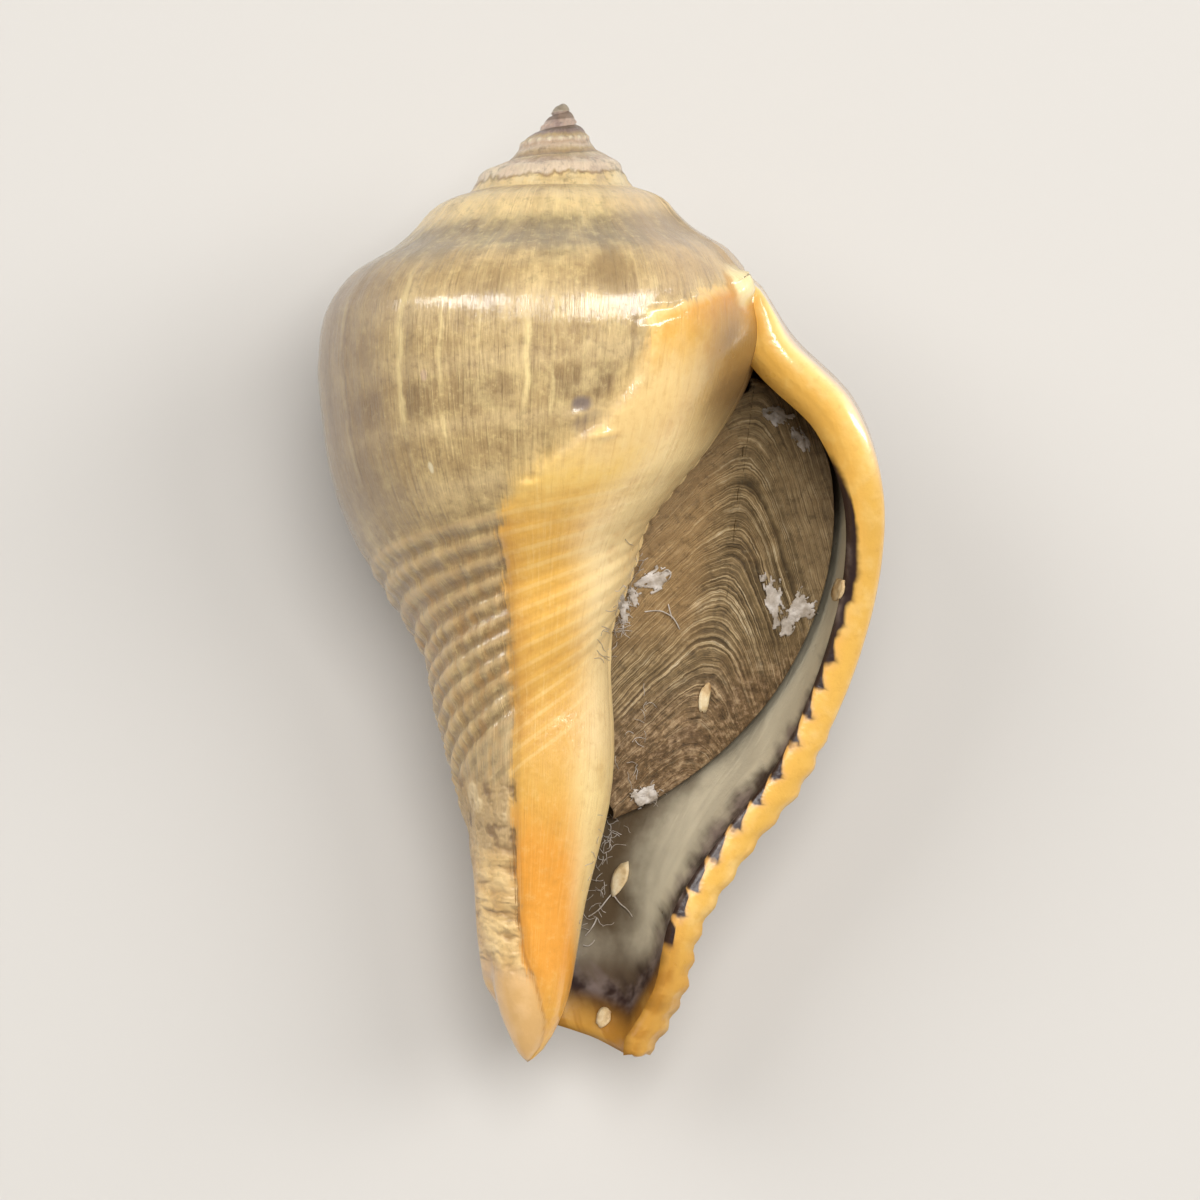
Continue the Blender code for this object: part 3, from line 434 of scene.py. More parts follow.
# Lights: name, direction from the shell, size, distance, power, whether matt and glossy surfaces show them
LIGHTS = (("left_window", (-0.60, 0.24, 0.70), (0.08, 0.55), 0.7, 2.3, False, True),
          ("right_window", (0.656, 0.16, 0.72), (0.12, 0.60), 0.7, 2.9, False, True),
          ("left_light", (-0.60, 0.34, 0.70), (0.30, 0.50), 0.7, 2.0, True, False),
          ("right_light", (0.656, 0.24, 0.72), (0.30, 0.50), 0.7, 2.5, True, False),
          ("front_fill", (0.10, 0.10, 1.0), (0.5, 0.5), 1.2, 8.8, True, False))
ROOM_LIGHT = 0.23


def smoothstep(x):
    x = np.clip(x, 0.0, 1.0)
    return x * x * (3.0 - 2.0 * x)


def smooth_curve(xs, ys, x):
    """Cubic curve through points, with the slope at each point taken from its neighbours."""
    xs = np.asarray(xs, float)
    ys = np.asarray(ys, float)
    step = np.diff(xs)
    rise = np.diff(ys) / step
    slope = np.empty_like(ys)
    slope[1:-1] = (rise[:-1] * step[1:] + rise[1:] * step[:-1]) / (step[:-1] + step[1:])
    slope[0] = rise[0]
    slope[-1] = rise[-1]
    x = np.clip(x, xs[0], xs[-1])
    i = np.clip(np.searchsorted(xs, x, side="right") - 1, 0, len(xs) - 2)
    h = step[i]
    t = (x - xs[i]) / h
    return ((1 + 2 * t) * (1 - t) ** 2 * ys[i] + t * (1 - t) ** 2 * h * slope[i]
            + t * t * (3 - 2 * t) * ys[i + 1] + t * t * (t - 1) * h * slope[i + 1])


def by_age(newest_first, older_ratio, angle):
    """Value at a growth angle, from one value for each half whorl."""
    values = list(newest_first)
    while len(values) <= OLDEST_HALF_WHORL:
        values.append(values[-1] / older_ratio)
    values.insert(0, values[0] ** 2 / values[1])
    nodes = 1.0 - np.arange(len(values))
    return np.exp(smooth_curve(nodes[::-1], np.log(values[::-1]), np.asarray(angle) / 180.0))


def suture_depth(angle):
    return by_age(SUTURE_DEPTH, OLDER_SUTURE, angle)


def base_size(angle):
    return by_age(BASE_SIZE, OLDER_BASE, angle)


def along(table, x):
    """Smooth value of a two-column table."""
    return smooth_curve([a for a, _ in table], [b for _, b in table], x)


def cord_relief(angle, depth):
    """Height of the spiral cords, which follow the growth of the base."""
    age = depth / base_size(angle)
    place = (age - CORD_TOP) / CORD_STEP
    fade = smoothstep(place / CORD_FADE) * smoothstep((CORD_COUNT - place) / CORD_FADE)
    return CORD_HEIGHT * fade * np.cos(2 * math.pi * place)


def callus_distance(angle, depth, radius):
    """How far a point lies within the edge of the callus, below zero outside it."""
    edge = np.array(CALLUS_EDGE)
    inside = np.zeros(np.shape(depth), bool)
    closed = np.vstack([edge, CALLUS_FAR])
    for (a0, d0), (a1, d1) in zip(closed, np.roll(closed, -1, axis=0)):
        if d0 != d1:
            crosses = (d0 > depth) != (d1 > depth)
            inside ^= crosses & (angle < a0 + (depth - d0) * (a1 - a0) / (d1 - d0))
    distance = np.full(np.shape(depth), np.inf)
    for (a0, d0), (a1, d1) in zip(edge[:-1], edge[1:]):
        run_x = math.radians(a1 - a0) * radius
        run_y = d1 - d0
        off_x = np.radians(angle - a0) * radius
        off_y = depth - d0
        share = np.clip((off_x * run_x + off_y * run_y) / (run_x ** 2 + run_y ** 2), 0.0, 1.0)
        distance = np.minimum(distance, np.hypot(off_x - share * run_x, off_y - share * run_y))
    return np.where(inside, distance, -distance)


def callus_relief(angle, depth, radius):
    """Thickness of the callus, zero outside its edge."""
    pad = np.exp(-((depth - PAD_DEPTH) / PAD_HEIGHT) ** 2 - ((angle - PAD_ANGLE) / PAD_SPREAD) ** 2)
    return (CALLUS_THICK + CALLUS_PAD * pad) * smoothstep(callus_distance(angle, depth, radius) / CALLUS_SOFT)


class Growth:
    """Sections of the shell at equal steps of growth, oldest first."""

    def __init__(self, columns):
        self.step = 360.0 / columns
        self.columns = columns
        older_turns = int(round((LIP_ANGLE - APEX_ANGLE) / self.step))
        self.angles = LIP_ANGLE - self.step * np.arange(older_turns, -1, -1)
        self.depths = np.arange(0.0, TIP_DEPTH + TABLE_STEP, TABLE_STEP)
        self.curves = []
        self.plain = []
        for i, angle in enumerate(self.angles):
            older = self.curves[i - columns] if i >= columns else None
            radius, depth = self.section(angle, older)
            self.plain.append((radius, depth))
            bump = cord_relief(angle, depth) + callus_relief(angle, depth, radius)
            bump *= smoothstep((depth - depth[0]) / RELIEF_START)
            self.curves.append((radius + bump, depth))
        self.table = np.array([np.interp(self.depths, d, r) for r, d in self.curves])

    def section(self, angle, older):
        """Radius and depth along one section, from the suture to the end of the canal or the tip."""
        top = float(suture_depth(angle))
        edge = APEX_RADIUS if older is None else float(np.interp(top, older[1], older[0]))
        shoulder_r = float(by_age(SHOULDER_RADIUS, OLDER_SHOULDER_RADIUS, angle))
        shoulder_d = float(by_age(SHOULDER_DEPTH, OLDER_SHOULDER_DEPTH, angle))
        size = float(base_size(angle))
        near_lip = float(smoothstep((angle + 180.0) / 180.0))
        points = [(edge, top)]
        points += [(edge + (left + near_lip * (lip - left)) * (shoulder_r - edge),
                    top + share * (shoulder_d - top)) for share, left, lip in RAMP]
        points.append((shoulder_r, shoulder_d))
        points += [(shoulder_r * (left + near_lip * (lip - left)), shoulder_d + size * under)
                   for under, left, lip in BODY]
        points = np.array([p for p in points if p[1] < PROFILE_END] + [(0.0, PROFILE_END)])
        chord = np.append(0.0, np.cumsum(np.hypot(*np.diff(points, axis=0).T)))
        place = np.linspace(0.0, chord[-1], DENSE)
        radius = smooth_curve(chord, points[:, 0], place)
        depth = smooth_curve(chord, points[:, 1], place)
        depth = np.maximum.accumulate(depth + np.arange(DENSE) * 1e-6)
        if angle < CANAL_JOIN:
            radius = radius * (1.0 - smoothstep((depth - float(along(CANAL_END, angle))) / RIDGE_FADE))
        pillar = along(PILLAR, depth)
        reach = smoothstep((depth - PILLAR[0][0]) / PILLAR_REACH)
        closing = PILLAR_BLEND * smoothstep((depth - TIP_DEPTH) / TIP_CLOSE + 1.0)
        blended = 0.5 * (radius + pillar + np.sqrt((radius - pillar) ** 2 + PILLAR_BLEND ** 2) - closing)
        radius = radius + reach * (blended - radius)
        return radius, depth

    def inner(self, angle, depth):
        """Radius of the older growth at this angle and depth."""
        place = (angle - self.angles[0]) / self.step
        i = np.clip(np.floor(place).astype(int), 0, len(self.angles) - 2)
        share = place - i
        level = np.clip(depth / TABLE_STEP, 0.0, len(self.depths) - 1.001)
        k = np.floor(level).astype(int)
        part = level - k
        low = self.table[i, k] * (1 - part) + self.table[i, k + 1] * part
        high = self.table[i + 1, k] * (1 - part) + self.table[i + 1, k + 1] * part
        return low * (1 - share) + high * share


def spaced(curve, start, end, count):
    """Depths of count + 1 points at equal distances along a section."""
    radius, depth = curve
    level = np.append(start, np.append(depth[(depth > start) & (depth < end)], end))
    out = np.interp(level, depth, radius)
    run = np.append(0.0, np.cumsum(np.hypot(np.diff(level), np.diff(out))))
    return np.interp(np.linspace(0.0, run[-1], count + 1), run, level)


class ShellSurface:
    """Closed skin of the shell: outside, inner wall, body chamber, lip and canal edge.

    A vertex has a key: E for the spiral sheet, I for the chamber's outer wall,
    L for the lip and M for the edge of the canal.
    """

    def __init__(self, growth, ramp, edge, upper, cord, end, tip):
        self.g = growth
        self.n = growth.columns
        self.last = len(growth.angles) - 1
        self.bands = (ramp, edge, upper, cord, end, edge, tip)
        rows = np.append(0, np.cumsum(self.bands))
        self.next_row, self.corner_row = rows[1], rows[2]
        self.margin_row, self.ridge_row, self.tip_row = rows[5], rows[6], rows[7]
        self.edge = edge
        self.seam = self.last - self.n
        self.join = self.column(CANAL_JOIN)
        self.deep = self.column(LIP_ANGLE - CHAMBER_TURN)
        self.points = {}
        self.faces = []
        self.corners = []
        self.outside()
        self.inner_wall()
        self.lean_lip()
        self.chamber()
        self.edges()
        self.stitch()

    def column(self, angle):
        """Number of the section nearest to a growth angle."""
        return int(round((angle - self.g.angles[0]) / self.g.step))

    def breaks(self, i):
        """Depths where the bands of one full section begin and end."""
        angle = self.g.angles[i]
        size = float(base_size(angle))
        seam_size = float(base_size(self.g.angles[self.seam]))
        top = float(suture_depth(angle))
        later = float(suture_depth(LIP_ANGLE)) * size / seam_size
        corner = later + CORNER_DEPTH * size / seam_size
        end = float(along(CANAL_END, angle))
        return (top, later, corner, CORD_TOP * size, (CORD_TOP + ROW_CORDS * CORD_STEP) * size,
                end, end + RIDGE_STEP, TIP_DEPTH)

    def outside(self):
        """Rows of the sheet that is seen from outside, spire first."""
        self.rows = {}
        for i in range(self.seam):
            angle = self.g.angles[i]
            self.rows[i] = spaced(self.g.curves[i], float(suture_depth(angle)),
                                  float(suture_depth(angle + 360.0)), self.bands[0])
        for i in range(self.seam, self.last + 1):
            stops = self.breaks(i)
            parts = [np.array([stops[0]])]
            for band, count in enumerate(self.bands):
                if band == 3:
                    level = np.linspace(stops[3], stops[4], count + 1)
                else:
                    level = spaced(self.g.curves[i], stops[band], stops[band + 1], count)
                parts.append(level[1:])
            self.rows[i] = np.concatenate(parts)
        self.radius = {}
        self.bare = {}
        for i, level in self.rows.items():
            self.radius[i] = np.interp(level, self.g.curves[i][1], self.g.curves[i][0])
            self.bare[i] = np.interp(level, self.g.plain[i][1], self.g.plain[i][0])

    def inner_wall(self):
        """Rows of the older whorl that shows in the body chamber, and of the pillar."""
        seam = self.rows[self.seam]
        share = seam[self.corner_row:self.ridge_row + 1] - seam[self.corner_row]
        share /= share[-1]
        self.inner_rows = {}
        for i in range(self.deep - self.n, self.seam):
            later = self.g.angles[i] + 360.0
            top = float(suture_depth(later)) + CORNER_DEPTH
            if i < self.join - self.n:
                bottom = float(along(CREASE, later))
                tail = []
            else:
                step = (i - (self.join - self.n)) / (self.seam - (self.join - self.n))
                bottom = float(along(CREASE, CANAL_JOIN)) * (1 - step) + seam[self.ridge_row] * step
                tail = list(spaced(self.g.curves[i], bottom, TIP_DEPTH, self.bands[6])[1:])
            self.inner_rows[i] = np.append(top + share * (bottom - top), tail)

    def lean_lip(self):
        """Slide the newest growth back, more towards the canal, so that the lip leans."""
        edge = self.rows[self.last][:self.margin_row + 1]
        lean = along(LIP_LEAN, (edge - edge[0]) / (edge[-1] - edge[0]))
        count = self.margin_row + 1
        columns = np.arange(self.seam, self.last + 1)
        grid = {}
        for name, source in (("depth", self.rows), ("radius", self.radius), ("bare", self.bare)):
            grid[name] = np.array([source[i][:count] for i in columns])
        self.sheet = {}
        for i in columns:
            share = float(smoothstep((self.g.angles[i] - LEAN_START) / (LIP_ANGLE - LEAN_START)))
            place = i - self.seam + share * lean / self.g.step
            low = np.clip(np.floor(place).astype(int), 0, len(columns) - 2)
            part = place - low
            row = np.arange(count)
            entry = {name: grid[name][low, row] * (1 - part) + grid[name][low + 1, row] * part
                     for name in grid}
            entry["angle"] = self.g.angles[i] + share * lean
            self.sheet[i] = entry

    def chamber(self):
        """Outer wall of the body chamber, a wall's thickness inside the outside."""
        self.inside = {}
        for i in range(self.deep, self.last + 1):
            s = self.sheet[i]
            angle, radius, depth = s["angle"], s["bare"], s["depth"]
            behind = (self.last - i) * self.g.step
            wall = WALL + LIP_EXTRA * math.exp(-behind / LIP_SPREAD)
            canal = smoothstep((depth - RIM_TOP) / RIM_CHANGE)
            wall = wall + (RIM_WALL - WALL) * canal
            dr = np.gradient(radius)
            dd = np.gradient(depth)
            size = np.hypot(dr, dd)
            off_r = radius - wall * dd / size
            off_d = np.maximum.accumulate(depth + wall * dr / size)
            top = depth[0] + CORNER_DEPTH
            crease = float(along(CREASE, self.g.angles[i]))
            bottom = crease if i < self.join else depth[-1]
            level = top + (depth - depth[0]) / (depth[-1] - depth[0]) * (bottom - top)
            pillar = self.g.inner(angle - 360.0, level)
            gap = np.maximum(np.interp(level, off_d, off_r) - pillar, MIN_GAP)
            opening = self.round_end((level - top) / CORNER_OPEN)
            opening = opening * self.round_end((crease - level) / CREASE_OPEN)
            self.inside[i] = {"angle": angle, "depth": level, "radius": pillar + gap * opening}

    @staticmethod
    def round_end(x):
        """Quarter circle from 0 to 1."""
        x = np.clip(x, 0.0, 1.0)
        return np.sqrt(x * (2.0 - x))

    @staticmethod
    def place(angle, radius, depth):
        """Point in space, with the apex up along y and the opening towards z."""
        a = np.radians(angle)
        return np.array([radius * np.cos(a), -depth, radius * np.sin(a)])

    def spiral_point(self, i, j):
        """Point on the spiral sheet: outside, leaning lip, or inner wall."""
        if i < self.seam and j > self.next_row:
            depth = self.inner_rows[i][j - self.corner_row]
            return self.place(self.g.angles[i], np.interp(depth, *self.g.curves[i][::-1]), depth)
        if i > self.seam and j <= self.margin_row:
            s = self.sheet[i]
            return self.place(s["angle"][j], s["radius"][j], s["depth"][j])
        return self.place(self.g.angles[i], self.radius[i][j], self.rows[i][j])

    def key(self, kind, i, j):
        """The one key of a vertex that several sheets share."""
        if kind == "M":
            if j == 0:
                return self.key("E", i, self.margin_row)
            if j == self.edge:
                return self.key("I", i, self.margin_row)
            if i == self.last:
                return ("L", self.margin_row, j)
            if i == self.join:
                return ("E", i, self.margin_row + j)
        if kind == "L":
            if j == 0:
                return self.key("E", self.last, i)
            if j == self.edge:
                return self.key("I", self.last, i)
            if i == 0:
                return ("E", self.seam, self.next_row + j)
        if kind == "I":
            if j == 0:
                return ("E", i - self.n, self.corner_row)
            if j == self.margin_row and i <= self.join:
                return ("E", i - self.n, self.ridge_row)
        if kind == "E":
            if j == self.next_row and i <= self.seam:
                return ("E", i + self.n, 0)
            if i == self.join and j >= self.ridge_row:
                return ("E", i - self.n, j)
        return (kind, i, j)

    def edges(self):
        """Rounded edge of the lip and of the canal, from the suture to the join."""
        line = [("L", j) for j in range(self.margin_row + 1)]
        line += [("M", i) for i in range(self.last - 1, self.join - 1, -1)]
        outer, inner = [], []
        for kind, k in line:
            i, j = (self.last, k) if kind == "L" else (k, self.margin_row)
            outer.append(self.spiral_point(i, j))
            s = self.inside[i]
            inner.append(self.place(s["angle"][j], s["radius"][j], s["depth"][j]))
        outer, inner = np.array(outer), np.array(inner)
        middle = 0.5 * (outer + inner)
        run = np.gradient(middle, axis=0)
        across = outer - inner
        for _ in range(EDGE_SMOOTHING):
            run[1:-1] = 0.25 * run[:-2] + 0.5 * run[1:-1] + 0.25 * run[2:]
        out = np.cross(run, across)
        out /= np.linalg.norm(out, axis=1)[:, None]
        thick = np.linalg.norm(across, axis=1)
        from_suture = np.arange(len(line))
        size = np.minimum(LIP_ROUND, 0.5 * thick)
        size *= smoothstep(from_suture / (self.bands[0] * ROUND_START))
        size *= smoothstep(from_suture[::-1] / (self.n * ROUND_END))
        self.rim_line = middle
        for s in range(1, self.edge):
            turn = math.pi * s / self.edge
            ring = middle + 0.5 * across * math.cos(turn) + out * (size * math.sin(turn))[:, None]
            for (kind, k), point in zip(line, ring):
                self.points[self.key(kind, k, s)] = point
        for s in range(self.edge + 1):
            share = s / self.edge
            top = self.rows[self.seam][self.next_row + s]
            self.points[("E", self.seam, self.next_row + s)] = self.place(
                self.g.angles[self.seam], np.interp(top, *self.g.curves[self.seam][::-1]), top)
            flat = outer[-1] * (1 - share) + inner[-1] * share
            self.points[self.key("E", self.join, self.margin_row + s)] = flat

    def vertex(self, kind, i, j):
        """Key of a vertex, whose point is made when it is first asked for."""
        key = self.key(kind, i, j)
        if key not in self.points:
            if key[0] == "E":
                self.points[key] = self.spiral_point(key[1], key[2])
            else:
                s = self.inside[key[1]]
                self.points[key] = self.place(s["angle"][key[2]], s["radius"][key[2]], s["depth"][key[2]])
        return key

    def facts(self, kind, i, j):
        """Growth angle, depth and zone of a corner.

        Zone 0 is the outside, 1 the inner wall, 2 the chamber, and 3 to 4 lies across the rounded edge.
        """
        g = self.g.angles
        if kind == "E":
            if i < self.seam and j > self.next_row:
                return g[i], self.inner_rows[i][j - self.corner_row], 1.0
            if i > self.seam and j <= self.margin_row:
                return g[i], self.sheet[i]["depth"][j], 0.0
            return g[i], self.rows[i][j], 0.0
        if kind == "I":
            return g[i], self.inside[i]["depth"][j], 2.0
        if kind == "cap":
            return g[0], 0.0, 0.0
        line, step = (i, j)
        share = step / self.edge
        col, row = (self.last, line) if kind == "L" else (line, self.margin_row)
        depth = self.sheet[col]["depth"][row] * (1 - share) + self.inside[col]["depth"][row] * share
        return g[col], depth, 3.0 + share

    def quad(self, *corners):
        self.faces.append([self.vertex(*c) for c in corners])
        self.corners.append(corners)

    def stitch(self):
        """Join the sheets' vertices into faces, and close the tip, the apex and the chamber's deep end."""
        n, last, seam, join, deep = self.n, self.last, self.seam, self.join, self.deep
        for i in range(last):
            if i < seam:
                bands = [(0, self.next_row)]
                if deep - n <= i:
                    bottom = self.ridge_row if i < join - n else self.tip_row
                    bands.append((self.corner_row, bottom))
            else:
                bands = [(0, self.tip_row if i < join else self.margin_row)]
            for start, end in bands:
                for j in range(start, end):
                    self.quad(("E", i, j), ("E", i + 1, j), ("E", i + 1, j + 1), ("E", i, j + 1))
        for i in range(deep, last):
            for j in range(self.margin_row):
                self.quad(("I", i, j), ("I", i, j + 1), ("I", i + 1, j + 1), ("I", i + 1, j))
        for j in range(self.margin_row):
            for s in range(self.edge):
                self.quad(("L", j, s), ("L", j, s + 1), ("L", j + 1, s + 1), ("L", j + 1, s))
        for i in range(join, last):
            for s in range(self.edge):
                self.quad(("M", i, s), ("M", i + 1, s), ("M", i + 1, s + 1), ("M", i, s + 1))
        self.cap([self.vertex("E", i, self.tip_row) for i in range(join - n, join + 1)], (0, -TIP_POINT, 0))
        first = [self.vertex("E", i, 0) for i in range(n, -1, -1)]
        first += [self.vertex("E", 0, j) for j in range(1, self.next_row + 1)]
        self.cap(first, (0, APEX_POINT, 0))
        end = [self.vertex("E", deep - n, j) for j in range(self.corner_row, self.ridge_row + 1)]
        end += [self.vertex("I", deep, j) for j in range(self.margin_row, -1, -1)]
        self.cap(end, self.place(self.g.angles[deep] - 90.0, CHAMBER_END, 0.0))

    def cap(self, loop, push):
        """Close a loop of vertices with a fan, its middle pushed out."""
        if loop[0] == loop[-1]:
            loop = loop[:-1]
        middle = ("cap", len(self.faces), 0)
        self.points[middle] = np.mean([self.points[k] for k in loop], axis=0) + np.array(push)
        for a, b in zip(loop, loop[1:] + loop[:1]):
            if a != b:
                self.faces.append([a, b, middle])
                self.corners.append((a, b, a))


class PlateSurface:
    """Closed skin of the operculum, which spans the body chamber from the pillar to the outer wall."""

    def __init__(self, growth, count, rings):
        self.g = growth
        self.top = PLATE_SIDE[0][0]
        self.bottom = PLATE_SIDE[-1][0]
        loop = self.outline(count)
        middle = loop[:, 0].min() + PLATE_MIDDLE * np.ptp(loop[:, 0])
        centre = np.array([middle, 0.5 * (self.top + self.bottom)])
        share = np.append(0.0, np.repeat(np.arange(1, rings + 1) / rings, count))
        spots = np.vstack([centre, centre + (np.tile(loop, (rings, 1)) - centre) * share[1:, None]])
        names = [(0, 0)] + [(ring, k) for ring in range(1, rings + 1) for k in range(count)]
        self.points = {}
        self.faces = []
        for side, turn in (("top", 1), ("under", -1)):
            for (ring, k), point in zip(names, self.place(spots, share, turn)):
                self.points[(side, ring, k)] = point
        for k in range(count):
            after = (k + 1) % count
            self.faces.append([("top", 0, 0), ("top", 1, k), ("top", 1, after)])
            self.faces.append([("under", 0, 0), ("under", 1, after), ("under", 1, k)])
            for ring in range(1, rings):
                self.faces.append([("top", ring, k), ("top", ring + 1, k),
                                   ("top", ring + 1, after), ("top", ring, after)])
                self.faces.append([("under", ring, k), ("under", ring, after),
                                   ("under", ring + 1, after), ("under", ring + 1, k)])
            self.faces.append([("top", rings, k), ("under", rings, k),
                               ("under", rings, after), ("top", rings, after)])

    def inner_x(self, depth):
        """Where the plate's edge meets the older whorl and the pillar."""
        height = along(PLATE_INNER_HEIGHT, depth)
        x = np.full(np.shape(depth), PLATE_START)
        for _ in range(PLATE_STEPS):
            angle = np.degrees(np.arctan2(height, x))
            radius = self.g.inner(angle - 360.0, depth) + PLATE_GAP
            x = 0.5 * x + 0.5 * np.sqrt(np.maximum(radius ** 2 - height ** 2, PLATE_NEAREST ** 2))
        return x

    def sides(self, depth):
        """Places of the two long edges, which meet at both ends."""
        side = along(PLATE_SIDE, depth)
        open_top = smoothstep((depth - self.top) / PLATE_TOP_ROUND)
        open_end = smoothstep((self.bottom - depth) / PLATE_END_ROUND)
        inner = np.minimum(self.inner_x(depth), side)
        return side - (side - inner) * np.sqrt(open_top * open_end), side

    def outline(self, count):
        """Evenly spaced points around the plate, each an x and a depth."""
        turn = 0.5 * (1.0 - np.cos(np.linspace(0.0, math.pi, PLATE_DENSE)))
        depth = self.top + (self.bottom - self.top) * turn
        inner, side = self.sides(depth)
        right = np.stack([side, depth], 1)
        left = np.stack([inner, depth], 1)[::-1]
        loop = np.vstack([right, left[1:-1]])
        for _ in range(PLATE_SMOOTHING):
            loop = 0.25 * np.roll(loop, 1, 0) + 0.5 * loop + 0.25 * np.roll(loop, -1, 0)
        closed = np.vstack([loop, loop[:1]])
        run = np.append(0.0, np.cumsum(np.hypot(*np.diff(closed, axis=0).T)))
        at = np.linspace(0.0, run[-1], count, endpoint=False)
        return np.stack([np.interp(at, run, closed[:, 0]), np.interp(at, run, closed[:, 1])], 1)[::-1]

    def place(self, spots, share, side):
        """Points on the outer or the under face, share of the way from the middle to the edge."""
        x, depth = spots.T
        within = np.clip(depth, self.top, self.bottom)
        inner, outer = self.sides(within)
        across = np.clip((x - inner) / np.maximum(outer - inner, PLATE_GAP), 0.0, 1.0)
        height = along(PLATE_INNER_HEIGHT, within) * (1.0 - across)
        height = height + along(PLATE_SIDE_HEIGHT, within) * across
        height = height - PLATE_DISH * (1.0 - share ** 2)
        if side < 0:
            height = height - PLATE_EDGE - (PLATE_THICK - PLATE_EDGE) * (1.0 - share ** 4)
        return np.stack([x, -depth, height], 1)


def lattice(x, y, seed):
    """Repeatable number from 0 to 1 for each pair of whole numbers."""
    n = (x * 374761393 + y * 668265263 + seed * 974634777) & 0xFFFFFFFF
    n = ((n ^ (n >> 13)) * 1274126177) & 0xFFFFFFFF
    return ((n ^ (n >> 16)) & 0xFFFF) / 65535.0


def noise(x, y, seed):
    """Smooth noise from -1 to 1, with one hill or hollow to a unit."""
    x, y = np.broadcast_arrays(np.asarray(x, float), np.asarray(y, float))
    left, low = np.floor(x).astype(np.int64), np.floor(y).astype(np.int64)
    across, up = smoothstep(x - left), smoothstep(y - low)
    near = lattice(left, low, seed) * (1 - across) + lattice(left + 1, low, seed) * across
    far = lattice(left, low + 1, seed) * (1 - across) + lattice(left + 1, low + 1, seed) * across
    return 2.0 * (near * (1 - up) + far * up) - 1.0


def hump(x, middle, width):
    return np.exp(-((x - middle) / width) ** 2)


def growth_folds(angle, age):
    """Folds along the growth lines, and faint spiral waves, from -1 to 1."""
    folds = 0.5 * noise(angle / 6.0, age / 32.0, 3) + 0.35 * noise(angle / 2.9, age / 20.0, 5)
    return folds + 0.15 * noise(angle / 9.0, age / 1.7, 11)


def spire_beads(angle, age):
    """A row of small beads round the older whorls."""
    row = hump(age, BEAD_AGE, 0.9) * smoothstep((BEAD_NEWEST - angle) / 40.0)
    return row * (0.5 + 0.5 * np.cos(math.radians(1.0) * angle * BEADS_IN_WHORL))


def edge_drops(angle, depth, within):
    """Glossy drops along the upper edge of the callus."""
    near = hump(within, -0.15, 0.6) * smoothstep((DROPS_END - depth) / 3.0)
    near = near * smoothstep((angle + 345.0) / 8.0)
    drops = 0.4 + noise(angle / 2.6, depth / 0.6, 41) + 0.5 * noise(angle / 1.5, depth / 0.4, 42)
    return near * smoothstep(drops)


def lumpy_cords(angle, depth, age, within):
    """The callus fills the cords, and growth streaks break the bare ones into lumps."""
    cords = cord_relief(angle, depth)
    covered = smoothstep(within / 1.0 + 0.3)
    step = noise(angle / 3.4, age / CORD_STEP, 71) + 0.5 * noise(angle / 1.7, age / 1.1, 72)
    lumps = CORD_LUMPS * step * smoothstep((age - CORD_TOP) / 3.0) * smoothstep((54.0 - depth) / 5.0)
    return (1 - covered) * lumps - covered * CALLUS_FILL * cords


def shell_relief(angle, depth, zone, radius, rim, within):
    """Height, in millimetres, of the fine forms that each vertex stands on."""
    age = depth / base_size(angle)
    outside = zone == 0
    bare = outside * smoothstep(0.3 - within)
    size = np.minimum(radius / 12.0, 1.0)
    bump = bare * size * FOLD_HEIGHT * growth_folds(angle, age) * smoothstep((58.0 - depth) / 6.0)
    bump += outside * lumpy_cords(angle, depth, age, within)
    bump += outside * BEAD_HEIGHT * np.minimum(radius / 3.0, 1.0) * spire_beads(angle, age)
    bump += outside * DROP_HEIGHT * edge_drops(angle, depth, within)
    for turn, middle, half_turn, half_age, height in SCARS:
        bump += outside * height * hump(angle, turn, half_turn) * hump(age, middle, half_age)
    for turn, middle, half_turn, half_depth, height in (KNOB, CORNER_FILL):
        bump += outside * height * hump(angle, turn, half_turn) * hump(depth, middle, half_depth)
    old = outside * smoothstep((-430.0 - angle) / 40.0)
    eroded = noise(angle / 14.0, age / 0.9, 61) + 0.6 * noise(angle / 6.0, age / 0.5, 62)
    ledge = hump(age, 13.4, 1.0) * (0.7 + 0.9 * noise(angle / 16.0, age / 3.0, 63))
    bump += old * size * (ERODED_HEIGHT * eroded + LEDGE_HEIGHT * ledge)
    bump += outside * CAP_HEIGHT * smoothstep((CAP_ANGLE - angle) / 120.0)
    bump *= smoothstep((TIP_DEPTH - depth) / 3.0)
    bump += (zone == 2) * along(LIP_FILL, depth) * hump(rim, *LIP_FILL_PLACE)
    return bump - (zone > 2) * EDGE_THINNING * smoothstep((depth - 46.0) / 10.0)


def callus_within(angle, depth, zone, radius):
    """Distance within the callus, which on the outside belongs to the last whorl alone."""
    within = callus_distance(angle, depth, radius)
    beyond = (angle < SIDE_LIMIT) | (angle > OLD_SIDE) | (depth < CALLUS_TOP)
    return np.where((zone == 0) & beyond, -FAR, within)


def grown_mesh(name, surface):
    """Mesh of a surface's points, in millimetres, and the keys of its vertices."""
    index = {}
    for face in surface.faces:
        for key in face:
            index.setdefault(key, len(index))
    mesh = bpy.data.meshes.new(name)
    mesh.from_pydata([tuple(surface.points[k]) for k in index], [],
                     [[index[k] for k in face] for face in surface.faces])
    piece = bpy.data.objects.new(name, mesh)
    bpy.context.scene.collection.objects.link(piece)
    return piece, list(index)


